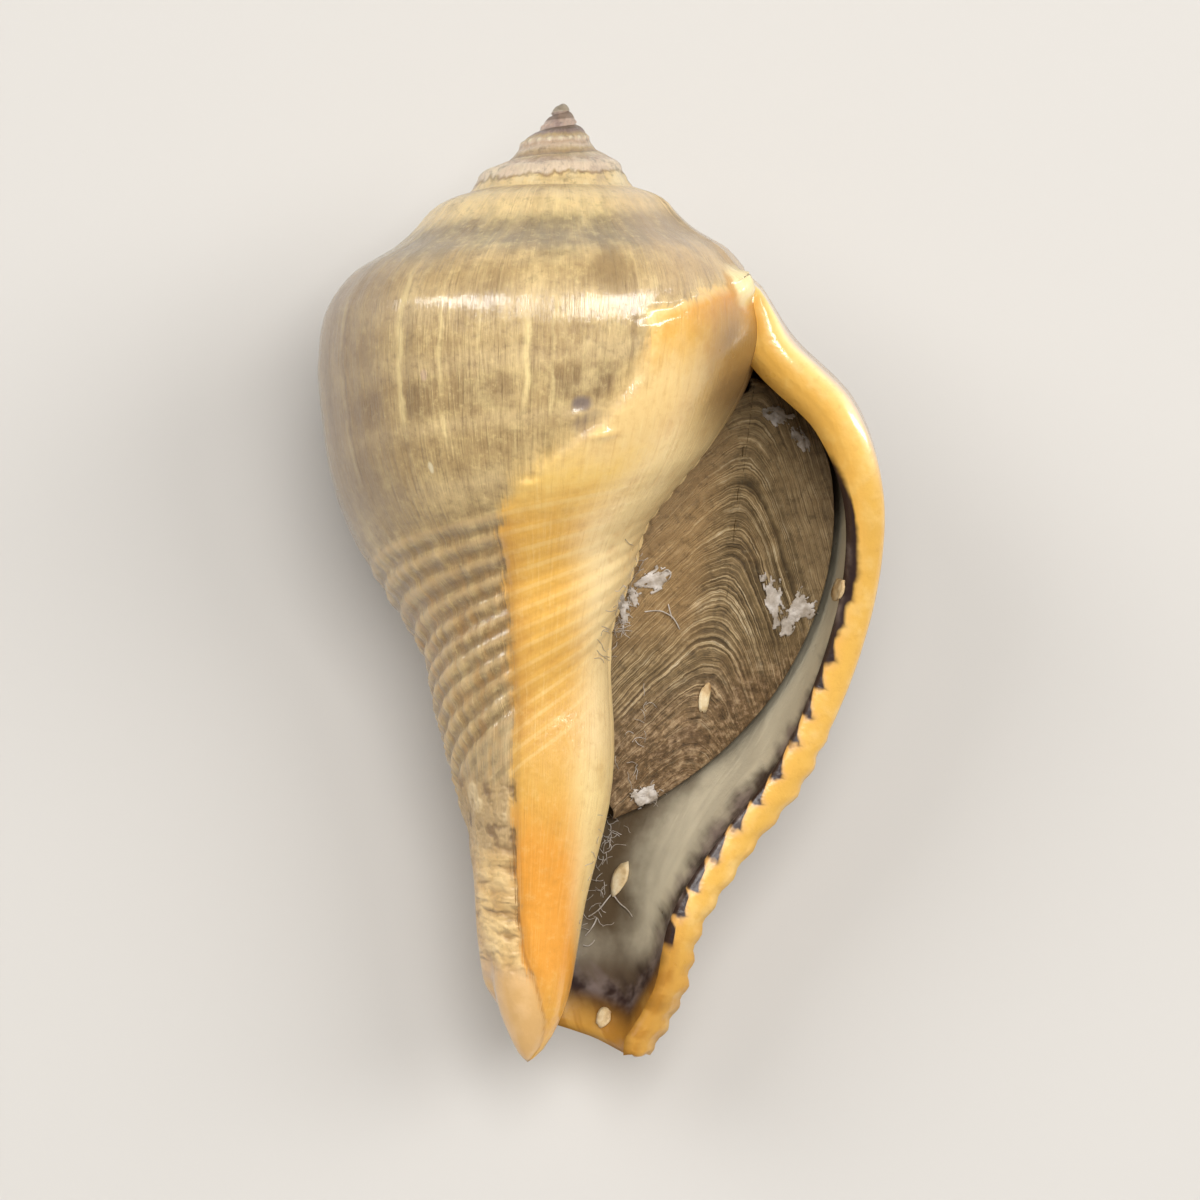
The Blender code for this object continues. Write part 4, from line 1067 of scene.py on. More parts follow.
def raise_vertices(piece, height):
    """Move each vertex along its normal by a height in millimetres."""
    mesh = piece.data
    count = len(mesh.vertices)
    place = np.empty(count * 3)
    out = np.empty(count * 3)
    mesh.vertices.foreach_get("co", place)
    mesh.vertices.foreach_get("normal", out)
    place = place.reshape(-1, 3) + out.reshape(-1, 3) * height[:, None]
    mesh.vertices.foreach_set("co", place.ravel())
    mesh.update()


def corner_values(piece, name, values, kind="FLOAT"):
    """Keep values on the corners of the faces, for the material to read."""
    layer = piece.data.attributes.new(name, kind, "CORNER")
    field = "vector" if kind == "FLOAT_VECTOR" else "value"
    layer.data.foreach_set(field, np.asarray(values, np.float32).ravel())


def laid_down():
    """From the growing frame, in millimetres, to the shell lying on the floor, in metres."""
    return (Matrix.Translation(Vector(REST_SHIFT) * MM) @ Matrix.Rotation(math.radians(REST_TIP), 4, "X")
            @ Matrix.Scale(MM, 4))


def lay_down(piece):
    """Lay a finished piece on the floor, and wear it flat where it rests."""
    piece.data.transform(laid_down())
    for v in piece.data.vertices:
        v.co.z = max(v.co.z, 0.0)
    piece.data.shade_smooth()
    piece.data.update()


def rim_distance(surface, points):
    """Distance of points to the middle of the lip's rounded edge."""
    line = surface.rim_line
    best = np.full(len(points), np.inf)
    for a, b in zip(line[:-1], line[1:]):
        run = b - a
        share = np.clip((points - a) @ run / (run @ run), 0.0, 1.0)
        best = np.minimum(best, np.linalg.norm(points - a - share[:, None] * run, axis=1))
    return best


class Ink:
    """A material whose nodes are put together by short calls, each of which gives back a socket."""

    def __init__(self, name):
        self.material = bpy.data.materials.new(name)
        self.material.use_nodes = True
        self.tree = self.material.node_tree
        self.shader = self.tree.nodes["Principled BSDF"]

    def node(self, kind, inputs=None, output=0, **settings):
        made = self.tree.nodes.new("ShaderNode" + kind)
        for setting, value in settings.items():
            setattr(made, setting, value)
        for place, value in (inputs or {}).items():
            self.feed(made.inputs[place], value)
        return made.outputs[output]

    def feed(self, socket, value):
        if isinstance(value, bpy.types.NodeSocket):
            self.tree.links.new(value, socket)
        elif socket.type == "RGBA" and len(value) == 3:
            socket.default_value = (*value, 1.0)
        else:
            socket.default_value = value

    def maths(self, operation, *values):
        return self.node("Math", dict(enumerate(values)), operation=operation)

    def add(self, a, b):
        return self.maths("ADD", a, b)

    def times(self, a, b):
        return self.maths("MULTIPLY", a, b)

    def rise(self, value, low, high, top=1.0):
        """0 below low and the top above high, or the other way round where low is the higher."""
        return self.node("MapRange", {0: value, 1: low, 2: high, 4: top}, interpolation_type="SMOOTHSTEP")

    def window(self, value, low, high, soft):
        """1 between low and high, and 0 outside them."""
        above = self.rise(value, low - soft, low + soft)
        return self.times(above, self.rise(value, high + soft, high - soft))

    def mix(self, share, a, b, blend="MIX"):
        return self.node("Mix", {0: share, 6: a, 7: b}, 2, data_type="RGBA", blend_type=blend)

    def vector(self, x=0.0, y=0.0, z=0.0):
        return self.node("CombineXYZ", {0: x, 1: y, 2: z})

    def noise(self, place, scale=1.0, detail=2.0, rough=0.5):
        return self.node("TexNoise", {"Vector": place, "Scale": scale, "Detail": detail, "Roughness": rough})

    def value(self, name):
        return self.node("Attribute", {}, 2, attribute_name=name)

    def ramp(self, value, stops):
        """Colour of a value, between stops that are each a value and its colour."""
        made = self.tree.nodes.new("ShaderNodeValToRGB")
        low, high = stops[0][0], stops[-1][0]
        self.tree.links.new(self.node("MapRange", {0: value, 1: low, 2: high}), made.inputs[0])
        points = made.color_ramp.elements
        while len(points) < len(stops):
            points.new(0.5)
        for point, (at, _) in zip(points, stops):
            point.position = (at - low) / (high - low)
        for point, (_, colour) in zip(points, stops):
            point.color = (*colour, 1.0)
        return made.outputs[0]

    def bump(self, height, distance):
        return self.node("Bump", {"Height": height, "Strength": 1.0, "Distance": distance})

    def between(self, share, first, second):
        """A direction between two others."""
        mixed = self.node("Mix", {0: share, 4: first, 5: second}, 1, data_type="VECTOR")
        return self.node("VectorMath", {0: mixed}, operation="NORMALIZE")


class Skin:
    """Where a point of the shell lies in its growth, as sockets that every part of the material shares."""

    def __init__(self, ink):
        self.ink = ink
        growth = ink.node("Attribute", {}, 1, attribute_name="growth")
        split = ink.tree.nodes.new("ShaderNodeSeparateXYZ")
        ink.tree.links.new(growth, split.inputs[0])
        self.angle, self.age, self.depth = split.outputs
        self.callus, self.rim = ink.value("callus"), ink.value("rim")
        self.zone, self.form = ink.value("zone"), ink.value("form")
        self.place = ink.node("TexCoord", {}, 3)
        self.cloud = self.grain(0.09, 0.16, 2.0)
        self.broad = self.grain(0.16, 0.30, 2.0)
        self.striae = self.grain(0.75, 0.11, 4.0, 0.66)
        self.fine = self.grain(2.2, 0.35, 3.0, 0.6)
        self.patch = ink.noise(self.place, 420.0, 3.0, 0.6)
        self.speck = ink.noise(self.place, 1500.0, 3.0, 0.7)
        turn_here = self.wobble(self.angle, 2.0, self.patch)
        self.here = ink.vector(turn_here, self.wobble(self.age, 0.5, self.patch))
        depth_here = self.wobble(self.depth, 0.5, self.patch)
        rings = ink.vector(ink.times(self.angle, 0.022), ink.times(depth_here, 0.80))
        self.rings = ink.noise(rings, 1.0, 2.0, 0.5)
        self.ridge = ink.times(ink.window(self.depth, 54.0, 63.5, 0.8), ink.rise(self.age, 70.0, 74.0))
        self.pitted = ink.times(ink.window(self.depth, 49.6, 54.6, 0.8), ink.rise(self.age, 62.0, 68.0))

    def grain(self, by_angle, by_age, detail, rough=0.5):
        """Noise that is drawn out along the growth lines."""
        place = self.ink.vector(self.ink.times(self.angle, by_angle), self.ink.times(self.age, by_age))
        return self.ink.noise(place, 1.0, detail, rough)

    def wobble(self, value, amount, source=None):
        """A value moved to and fro by noise."""
        noise = self.ink.add(source or self.broad, -0.5)
        return self.ink.node("Math", {0: noise, 1: 2.0 * amount, 2: value}, operation="MULTIPLY_ADD")

    def spot(self, turn, middle, half_turn, half_age, strength=1.0):
        """The strength in the middle of an oval place on the last whorl, and 0 outside it."""
        scale, shift = (1.0 / half_turn, 1.0 / half_age, 0.0), (-turn / half_turn, -middle / half_age, 0.0)
        away = self.ink.node("VectorMath", {0: self.here, 1: scale, 2: shift}, operation="MULTIPLY_ADD")
        away = self.ink.node("VectorMath", {0: away, 1: away}, 1, operation="DOT_PRODUCT")
        return self.ink.rise(away, 1.7, 0.2, strength)

    def lines(self, places):
        """The strength along growth lines that each run between two ages, and 0 outside them."""
        ink, strongest = self.ink, 0.0
        turn_here = self.wobble(self.wobble(self.angle, 1.0, self.patch), 1.4, self.broad)
        age_here = self.wobble(self.age, 2.0)
        for turn, first, last, half_turn, strength in places:
            away = ink.maths("ABSOLUTE", ink.add(turn_here, -turn))
            line = ink.times(ink.rise(away, half_turn * 1.8, half_turn * 0.2, strength),
                             ink.window(age_here, first, last, 2.0))
            strongest = ink.maths("MAXIMUM", strongest, line)
        return ink.times(strongest, ink.rise(self.patch, 0.30, 0.58))

    def cords(self, first):
        """Wave of the spiral cords, from -1 in a groove to 1 on a ridge, and where they are."""
        ink = self.ink
        wave = ink.maths("COSINE", ink.times(ink.add(self.age, -CORD_TOP), 2 * math.pi / CORD_STEP))
        return wave, ink.window(self.age, CORD_TOP + first, 74.0, 1.2)


def outside_colour(ink, skin):
    """Beige skin with spiral bands, broken into blocks and crossed by growth streaks, with painted shade on
    the left side.
    """
    colour = ink.ramp(skin.wobble(skin.wobble(skin.age, 0.6, skin.broad), 0.5, skin.striae), BODY_BANDS)
    band = ink.window(skin.wobble(skin.age, 0.9, skin.striae), 30.9, 34.6, 0.9)
    blocks = None
    for turn, half, strength in BLOCKS:
        place = skin.wobble(skin.angle, 2.0, skin.patch)
        block = ink.times(ink.window(place, turn - half, turn + half, 2.2), strength)
        blocks = block if blocks is None else ink.maths("MAXIMUM", blocks, block)
    colour = ink.mix(ink.times(blocks, band), colour, BLOCK)
    colour = ink.mix(ink.rise(skin.cloud, 0.5, 0.75, 0.45), colour, CREAM)
    colour = ink.mix(ink.rise(skin.cloud, 0.5, 0.25, 0.45), colour, DRAB)
    below = ink.add(0.35, ink.rise(skin.age, 16.0, 24.0, 0.65))
    for source, pale, dark in ((skin.striae, 0.34, 0.40), (skin.fine, 0.28, 0.30)):
        colour = ink.mix(ink.times(ink.times(ink.rise(source, 0.50, 0.80), pale), below), colour, PALE)
        colour = ink.mix(ink.times(ink.times(ink.rise(source, 0.50, 0.22), dark), below), colour, BROWN)
    for source, pale, dark in ((skin.patch, 0.30, 0.24), (skin.speck, 0.32, 0.34)):
        colour = ink.mix(ink.times(ink.rise(source, 0.50, 0.75), pale), colour, PALE)
        colour = ink.mix(ink.times(ink.rise(source, 0.50, 0.26), dark), colour, BROWN)
    colour = ink.mix(skin.lines(STREAKS), colour, PALE)
    colour = ink.mix(skin.lines(DARK_LINES), colour, BROWN)
    blue = ink.times(ink.window(skin.age, 12.5, 19.0, 2.0), ink.rise(skin.broad, 0.52, 0.36))
    colour = ink.mix(ink.times(blue, 0.40), colour, SLATE)
    right = ink.times(ink.rise(skin.angle, -288.0, -312.0), ink.rise(skin.age, 26.0, 20.0))
    colour = ink.mix(ink.times(right, 0.35), colour, ROSE)
    # Painted shade: the left side, which turns away from the lights, is darkened to a dull brown.
    left = ink.rise(skin.wobble(skin.angle, 4.0), -238.0, -206.0, 0.62)
    return ink.mix(ink.times(left, ink.window(skin.age, 17.0, 44.0, 3.0)), colour, LEFT_SIDE_SHADE)


def cord_colour(ink, skin, colour):
    """Pale ridges and brown grooves on the base, darker in patches, with painted shade where the relief is
    low and painted light where it stands up.
    """
    wave, on_cords = skin.cords(1.2)
    left = ink.rise(skin.angle, -262.0, -250.0)
    patchy = ink.rise(skin.patch, 0.40, 0.62)
    groove = ink.times(ink.rise(wave, 0.2, -0.8), on_cords)
    groove = ink.times(groove, ink.add(0.10, ink.times(patchy, 0.35)))
    colour = ink.mix(ink.times(groove, ink.add(0.4, ink.times(left, 0.6))), colour, BROWN)
    ridge = ink.times(ink.rise(wave, 0.3, 0.95), on_cords)
    ridge = ink.times(ridge, ink.add(0.15, ink.times(skin.patch, 0.7)))
    colour = ink.mix(ridge, colour, RIDGE)
    warm = ink.times(ink.window(skin.age, 50.0, 72.0, 3.0), ink.rise(skin.broad, 0.45, 0.7))
    colour = ink.mix(ink.times(warm, 0.40), colour, CORD_WARM)
    # Painted shade where the relief is low, and painted light where it stands up.
    colour = ink.mix(ink.rise(skin.form, 0.0, -0.25, 0.35), colour, HOLLOW_SHADE)
    return ink.mix(ink.rise(skin.form, 0.02, 0.25, 0.45), colour, RAISED_LIGHT)


def foot_colour(ink, skin, colour):
    """The ridge behind the canal: cream with soft brown rings, then a smooth pinkish tip."""
    tan = ink.mix(ink.rise(skin.patch, 0.35, 0.65), FOOT, FOOT_PALE)
    tan = ink.mix(ink.rise(skin.rings, 0.50, 0.30, 0.55), tan, FOOT_RING)
    tan = ink.mix(ink.rise(skin.rings, 0.52, 0.72, 0.40), tan, FOOT_CREAM)
    tan = ink.mix(ink.rise(skin.speck, 0.5, 0.28, 0.25), tan, BROWN)
    colour = ink.mix(skin.ridge, colour, tan)
    colour = ink.mix(ink.times(skin.pitted, 0.8), colour, WORN)
    colour = ink.mix(ink.times(skin.pitted, ink.rise(skin.patch, 0.52, 0.66)), colour, WORN_PALE)
    colour = ink.mix(ink.times(skin.pitted, ink.rise(skin.patch, 0.47, 0.36, 0.65)), colour, PIT)
    tip = ink.mix(ink.rise(skin.patch, 0.4, 0.65), TIP, TIP_PALE)
    return ink.mix(ink.rise(skin.wobble(skin.depth, 0.6), 62.5, 64.5), colour, tip)


def spire_colour(ink, skin, colour):
    """Cream and brown rings of the older whorls, towards a mauve apex.

    The worn whorls are darker where their relief is low and paler where it stands up, partly wear and partly
    painted shade and painted light.
    """
    older = ink.ramp(skin.wobble(skin.wobble(skin.age, 1.1), 0.9, skin.patch), SPIRE_BANDS)
    older = ink.mix(ink.rise(skin.striae, 0.52, 0.28, 0.20), older, BROWN)
    older = ink.mix(ink.rise(skin.patch, 0.5, 0.7, 0.35), older, IVORY)
    older = ink.mix(ink.rise(skin.patch, 0.48, 0.3, 0.45), older, MAUVE)
    early = ink.ramp(skin.wobble(skin.wobble(skin.age, 1.1), 1.2, skin.patch), EARLY_BANDS)
    beads = ink.maths("COSINE", ink.times(skin.angle, math.radians(1.0) * BEADS_IN_WHORL))
    beads = ink.rise(skin.wobble(beads, 0.8, skin.patch), 0.1, 0.8, 0.65)
    early = ink.mix(ink.times(beads, ink.window(skin.age, 12.9, 13.8, 0.5)), early, IVORY)
    early = ink.mix(ink.rise(skin.patch, 0.5, 0.68, 0.4), early, ROSE)
    first = ink.mix(ink.rise(skin.patch, 0.34, 0.56), APEX, APEX_PALE)
    first = ink.mix(ink.rise(skin.age, 11.0, 10.0, 0.6), first, BROWN)
    colour = ink.mix(ink.rise(skin.wobble(skin.angle, 20.0), -430.0, -470.0), colour, older)
    colour = ink.mix(ink.rise(skin.angle, -800.0, -850.0), colour, early)
    colour = ink.mix(ink.rise(skin.angle, -1150.0, -1210.0), colour, first)
    worn = ink.rise(skin.angle, -430.0, -470.0)
    # Partly wear, partly painted shade in the low relief and painted light on the raised relief.
    colour = ink.mix(ink.times(worn, ink.rise(skin.form, 0.02, -0.16, 0.55)), colour, BROWN)
    colour = ink.mix(ink.times(worn, ink.rise(skin.form, 0.08, 0.30, 0.45)), colour, IVORY)
    return ink.mix(ink.times(worn, ink.rise(skin.speck, 0.50, 0.28, 0.40)), colour, UMBER)


def callus_colour(ink, skin):
    """Yellow glaze of the inner lip: gold above and on the left, pale on the pillar, orange at the canal.

    The pillar has a painted highlight towards the opening, and painted shade darkens the glaze where it turns
    into the chamber and where it runs under the lip.
    """
    colour = ink.ramp(skin.wobble(skin.wobble(skin.depth, 1.6, skin.patch), 1.5), CALLUS_BANDS)
    wave, on_cords = skin.cords(0.6)
    broken = ink.add(0.25, ink.times(skin.patch, 0.75))
    ridge = ink.times(ink.times(ink.rise(wave, 0.45, 1.0), on_cords), broken)
    colour = ink.mix(ink.times(ridge, 0.34), colour, PALE)
    colour = ink.mix(ink.times(ink.times(ink.rise(wave, -0.2, -0.95), on_cords), 0.16), colour, AMBER)
    inner = ink.times(ink.rise(skin.callus, 3.5, 7.0), ink.window(skin.depth, 24.0, 49.0, 3.0))
    colour = ink.mix(ink.times(inner, 0.85), colour, GLAZE_PALE)
    left = ink.rise(skin.wobble(skin.callus, 0.8, skin.patch), 2.2, 0.5, 0.40)
    colour = ink.mix(ink.times(left, ink.window(skin.depth, 30.5, 46.5, 1.5)), colour, GLAZE_EDGE)
    top = ink.times(ink.rise(skin.callus, 0.8, 0.1), ink.rise(skin.depth, 19.0, 16.0))
    colour = ink.mix(ink.times(top, 0.6), colour, PALE)
    # Painted highlight: the pillar is paler towards the opening.
    pillar = ink.times(ink.rise(skin.callus, 3.4, 6.5), ink.rise(skin.wobble(skin.depth, 1.5), 46.0, 50.0))
    colour = ink.mix(ink.times(pillar, 0.8), colour, PALE)
    colour = ink.mix(ink.rise(skin.striae, 0.52, 0.78, 0.30), colour, PALE)
    colour = ink.mix(ink.rise(skin.striae, 0.48, 0.25, 0.30), colour, AMBER)
    colour = ink.mix(ink.rise(skin.patch, 0.5, 0.3, 0.22), colour, AMBER)
    colour = ink.mix(ink.rise(skin.speck, 0.5, 0.75, 0.15), colour, PALE)
    colour = ink.mix(ink.rise(skin.speck, 0.5, 0.25, 0.18), colour, AMBER)
    # Painted shade: the callus browns where it turns into the upper corner of the chamber.
    inward_shade = ink.rise(skin.wobble(skin.angle, 3.0), -305.0, -330.0, 0.92)
    colour = ink.mix(ink.times(inward_shade, ink.window(skin.depth, 15.0, 23.5, 2.5)), colour, GLAZE_SHADE)
    seam = ink.times(ink.window(skin.callus, -0.05, 0.22, 0.12), ink.rise(skin.depth, 53.0, 55.0))
    colour = ink.mix(ink.times(seam, 0.6), colour, SEAM)
    # Painted shade where the callus runs under the lip into the chamber.
    return ink.mix(ink.rise(skin.angle, -376.0, -396.0, 0.7), colour, SHADE)


def chamber_colour(ink, skin):
    """Inside of the outer lip: a ragged plum band with streaks, then pearl grey that darkens inwards with
    painted shade, and tan painted shade in the upper corner.
    """
    streak = ink.noise(ink.vector(ink.times(skin.age, 0.9), ink.times(skin.rim, 0.25)), 1.0, 2.0, 0.5)
    slant = ink.add(skin.wobble(skin.age, 0.8, skin.patch), ink.times(skin.rim, 0.8))
    teeth = ink.maths("FRACT", ink.times(slant, 1.0 / CORD_STEP))
    teeth = ink.maths("ABSOLUTE", ink.add(ink.times(teeth, 2.0), -1.0))
    end = ink.rise(skin.depth, 60.0, 63.5)
    lower = ink.times(ink.rise(skin.depth, 32.0, 46.0), ink.maths("SUBTRACT", 1.0, end))
    start = ink.add(0.20, ink.times(ink.times(teeth, lower), 1.7))
    start = ink.add(start, ink.times(ink.add(skin.patch, -0.5), 0.8))
    start = ink.add(start, ink.rise(skin.depth, 34.0, 27.0, 0.8))
    start = ink.add(start, ink.rise(skin.depth, 31.0, 20.0, 1.6))
    start = ink.add(start, ink.times(end, 2.2))
    reach = ink.times(ink.ramp(skin.depth, CHAMBER_REACH), 10.0)
    reach = ink.add(reach, ink.times(ink.add(streak, -0.5), 4.0))
    pearl = ink.mix(ink.rise(skin.cloud, 0.6, 0.35, 0.5), PEARL, PEARL_DULL)
    # Painted shade: the pearl grey darkens deeper inside the chamber and towards its lower end.
    deep = ink.add(skin.wobble(skin.rim, 1.2, skin.patch), ink.rise(skin.depth, 50.0, 62.0, 3.0))
    pearl = ink.mix(ink.rise(deep, 8.0, 12.0), pearl, SHADE)
    pearl = ink.mix(ink.rise(skin.depth, 60.5, 64.0, 0.9), pearl, UMBER)
    # Painted shade: tan deep in the upper corner of the chamber.
    tan = ink.times(ink.rise(skin.depth, 27.0, 22.0), ink.rise(skin.rim, 4.0, 7.0))
    pearl = ink.mix(tan, pearl, CHAMBER_SHADE_TAN)
    plum = ink.mix(ink.rise(skin.patch, 0.42, 0.66), PLUM, LILAC)
    past = ink.maths("SUBTRACT", skin.rim, start)
    plum = ink.mix(ink.rise(past, 0.2, 1.8), PLUM, plum)
    colour = ink.mix(ink.rise(ink.maths("SUBTRACT", skin.rim, reach), -1.9, 1.1), plum, pearl)
    lip = ink.mix(ink.rise(skin.patch, 0.45, 0.68, 0.5), GOLD, YELLOW)
    pink = ink.rise(past, -0.9, -0.1)
    lip = ink.mix(ink.times(pink, ink.times(lower, 0.5)), lip, LIP_PINK)
    gilt = ink.times(ink.rise(skin.depth, 58.0, 63.0), ink.add(0.7, ink.rise(streak, 0.4, 0.6, 0.3)))
    lip = ink.mix(gilt, lip, CANAL_GOLD)
    past = ink.maths("DIVIDE", past, ink.add(0.28, ink.times(end, 1.2)))
    return ink.mix(ink.rise(past, -1.0, 1.0), lip, colour)


def lip_colour(ink, skin):
    """The rounded edge of the lip: pinkish outside, cream on the edge and golden inside."""
    lip = ink.ramp(skin.wobble(skin.rim, 0.3, skin.patch), LIP_BANDS)
    low = ink.rise(skin.depth, 22.0, 29.0, 0.90)
    lip = ink.mix(low, lip, GILT)
    lip = ink.mix(ink.rise(skin.depth, 56.0, 66.0, 0.8), lip, LIP_LOW)
    lip = ink.mix(ink.rise(skin.patch, 0.45, 0.7, 0.25), lip, PALE)
    lip = ink.mix(ink.rise(skin.striae, 0.5, 0.25, 0.30), lip, AMBER)
    return ink.mix(ink.rise(skin.speck, 0.5, 0.25, 0.20), lip, AMBER)


def shell_material(wanted):
    """The whole skin of the shell, put together from its regions."""
    ink = Ink("shell_skin")
    skin = Skin(ink)
    colour = foot_colour(ink, skin, cord_colour(ink, skin, outside_colour(ink, skin)))
    colour = spire_colour(ink, skin, colour)
    for turn, age, half_turn, half_age, stain, strength in STAINS:
        colour = ink.mix(skin.spot(turn, age, half_turn, half_age, strength), colour, stain)
    colour = ink.mix(ink.times(ink.window(skin.rim, -6.0, 0.0, 1.5), 0.5), colour, ROSE)
    low = ink.times(ink.window(skin.rim, -3.2, 0.0, 0.8), ink.rise(skin.depth, 23.0, 30.0))
    colour = ink.mix(ink.times(low, 0.9), colour, GILT)
    soft = ink.add(0.35, ink.times(ink.window(skin.depth, 19.0, 29.0, 2.0), 1.3))
    edge = skin.wobble(skin.wobble(skin.callus, 0.9, skin.patch), 0.8, skin.striae)
    share = ink.rise(edge, ink.times(soft, -1.0), soft)
    colour = ink.mix(share, colour, callus_colour(ink, skin))
    knob = skin.spot(KNOB[0], KNOB[1] / float(base_size(KNOB[0])), KNOB[2] * 1.3, 2.3)
    colour = ink.mix(knob, colour, KNOB_CREAM)
    # Painted shade in the crease along the knob's left side.
    crease = skin.spot(KNOB[0] + 6.5, KNOB[1] / float(base_size(KNOB[0])), 1.3, 1.6, 0.6)
    colour = ink.mix(crease, colour, AMBER)
    colour = ink.mix(ink.rise(skin.zone, 1.6, 2.0), colour, chamber_colour(ink, skin))
    on_edge = ink.window(skin.rim, -2.4, 0.1, 0.3)
    colour = ink.mix(on_edge, colour, lip_colour(ink, skin))
    colour = ink.mix(1.0, colour, (*wanted.tint, 1.0), "MULTIPLY")
    ink.feed(ink.shader.inputs["Base Color"], colour)
    glazed = ink.maths("MAXIMUM", share, ink.rise(skin.rim, -2.4, -1.8))
    rough = ink.add(ink.add(0.42, ink.times(glazed, -0.08)), ink.times(ink.add(skin.patch, -0.5), 0.3))
    ink.feed(ink.shader.inputs["Roughness"], rough)
    dull = ink.times(ink.maths("MAXIMUM", skin.ridge, skin.pitted), 0.7)
    dull = ink.maths("MAXIMUM", ink.rise(skin.rim, 0.1, 0.5), dull)
    matt = ink.add(1.0, ink.times(dull, -0.95))
    ink.feed(ink.shader.inputs["Coat Weight"], ink.times(matt, wanted.gloss))
    ink.shader.inputs["Coat Roughness"].default_value = 0.10
    ink.shader.inputs["Coat IOR"].default_value = 1.6
    bare = ink.rise(glazed, 0.9, 0.1)
    height = ink.add(ink.add(skin.striae, -0.5), ink.times(ink.add(skin.fine, -0.5), 0.5))
    height = ink.times(height, ink.add(0.25, ink.times(bare, 0.75)))
    height = ink.times(height, ink.rise(skin.depth, 58.0, 52.0))
    height = ink.add(ink.add(height, ink.times(skin.patch, 0.5)), ink.times(skin.speck, 0.22))
    worn = ink.add(ink.times(skin.ridge, ink.times(ink.add(skin.rings, -0.5), 4.5)),
                   ink.times(skin.pitted, ink.times(ink.add(skin.patch, -0.5), 4.5)))
    height = ink.add(height, ink.times(bare, worn))
    rugged = ink.bump(height, SKIN_BUMP)
    ink.feed(ink.shader.inputs["Normal"], rugged)
    even = ink.node("NewGeometry", {}, 1)
    ink.feed(ink.shader.inputs["Coat Normal"], ink.between(COAT_SHARE, even, rugged))
    return ink.material


def plate_material(wanted):
    """Brown horn with fine arched growth lines, a tan upper left flank of painted light and a fibrous lower
    margin.
    """
    ink = Ink("horny_plate")
    line, lit_flank, lower = ink.value("growth_line"), ink.value("lit_flank"), ink.value("lower")
    place = ink.node("TexCoord", {}, 3)
    patch = ink.noise(place, 300.0, 4.0, 0.6)
    wobbly = ink.add(line, ink.times(ink.add(patch, -0.5), 1.3))
    run = ink.noise(place, 120.0, 2.0)
    fine = ink.noise(ink.vector(ink.times(wobbly, 4.4), ink.times(run, 2.0)), 1.0, 4.0, 0.7)
    coarse = ink.noise(ink.vector(ink.times(wobbly, 0.9), ink.times(run, 1.5), 7.0), 1.0, 2.0)
    speck = ink.noise(place, 1700.0, 4.0, 0.7)
    grain = ink.add(ink.noise(place, 700.0, 3.0), -0.5)
    colour = ink.ramp(ink.add(fine, ink.times(grain, 0.25)), PLATE_LINES)
    colour = ink.mix(ink.rise(coarse, 0.5, 0.28, 0.45), colour, PLATE_DARK)
    colour = ink.mix(ink.rise(coarse, 0.55, 0.75, 0.35), colour, PLATE_PALE)
    # Painted light: the upper left flank is lighter tan.
    colour = ink.mix(ink.times(lit_flank, 0.50), colour, PLATE_LIT_FLANK)
    # Painted light: the top of the plate is lightened against the shade that it lies in.
    colour = ink.mix(ink.rise(line, 30.0, 20.0, 0.35), colour, PLATE_TOP_LIGHT)
    threads = ink.vector(ink.times(wobbly, 0.8), ink.times(run, 6.0), ink.times(patch, 2.0))
    threads = ink.noise(threads, 3.0, 3.0)
    fibres = ink.ramp(ink.add(ink.times(speck, 0.6), ink.times(threads, 0.4)), PLATE_FIBRES)
    colour = ink.mix(ink.times(lower, 0.65), colour, fibres)
    colour = ink.mix(ink.rise(patch, 0.5, 0.72, 0.2), colour, PLATE_PATCH)
    colour = ink.mix(ink.rise(speck, 0.52, 0.3, 0.40), colour, PLATE_PIT)
    colour = ink.mix(ink.rise(speck, 0.55, 0.72, 0.25), colour, PLATE_GLINT)
    colour = ink.mix(1.0, colour, (*wanted.tint, 1.0), "MULTIPLY")
    ink.feed(ink.shader.inputs["Base Color"], colour)
    ink.feed(ink.shader.inputs["Roughness"], ink.add(0.42, ink.times(speck, 0.3)))
    height = ink.add(fine, ink.times(speck, 0.5))
    ink.feed(ink.shader.inputs["Normal"], ink.bump(height, PLATE_BUMP))
    return ink.material


def flake_material(wanted):
    """Dry white scales and threads, a little yellowed in places."""
    ink = Ink("dry_scale")
    place = ink.node("TexCoord", {}, 3)
    patch = ink.noise(place, 900.0, 4.0, 0.65)
    colour = ink.ramp(patch, FLAKE_COLOURS)
    colour = ink.mix(1.0, colour, (*wanted.tint, 1.0), "MULTIPLY")
    ink.feed(ink.shader.inputs["Base Color"], colour)
    ink.shader.inputs["Roughness"].default_value = 0.6
    ink.feed(ink.shader.inputs["Normal"], ink.bump(patch, FLAKE_BUMP))
    return ink.material


def chip_material():
    """Cream and tan chips of the shell's own skin."""
    ink = Ink("loose_chip")
    place = ink.node("TexCoord", {}, 3)
    patch = ink.noise(place, 700.0, 4.0, 0.65)
    colour = ink.ramp(patch, CHIP_COLOURS)
    ink.feed(ink.shader.inputs["Base Color"], colour)
    ink.shader.inputs["Roughness"].default_value = 0.5
    ink.feed(ink.shader.inputs["Normal"], ink.bump(patch, CHIP_BUMP))
    return ink.material


def floor_material(wanted):
    ink = Ink("pale_floor")
    place = ink.node("TexCoord", {}, 3)
    shade = ink.noise(place, 3.0, 2.0)
    darker = tuple(0.95 * v for v in wanted.floor_colour)
    ink.feed(ink.shader.inputs["Base Color"], ink.mix(shade, darker, tuple(wanted.floor_colour)))
    ink.shader.inputs["Roughness"].default_value = 0.8
    return ink.material


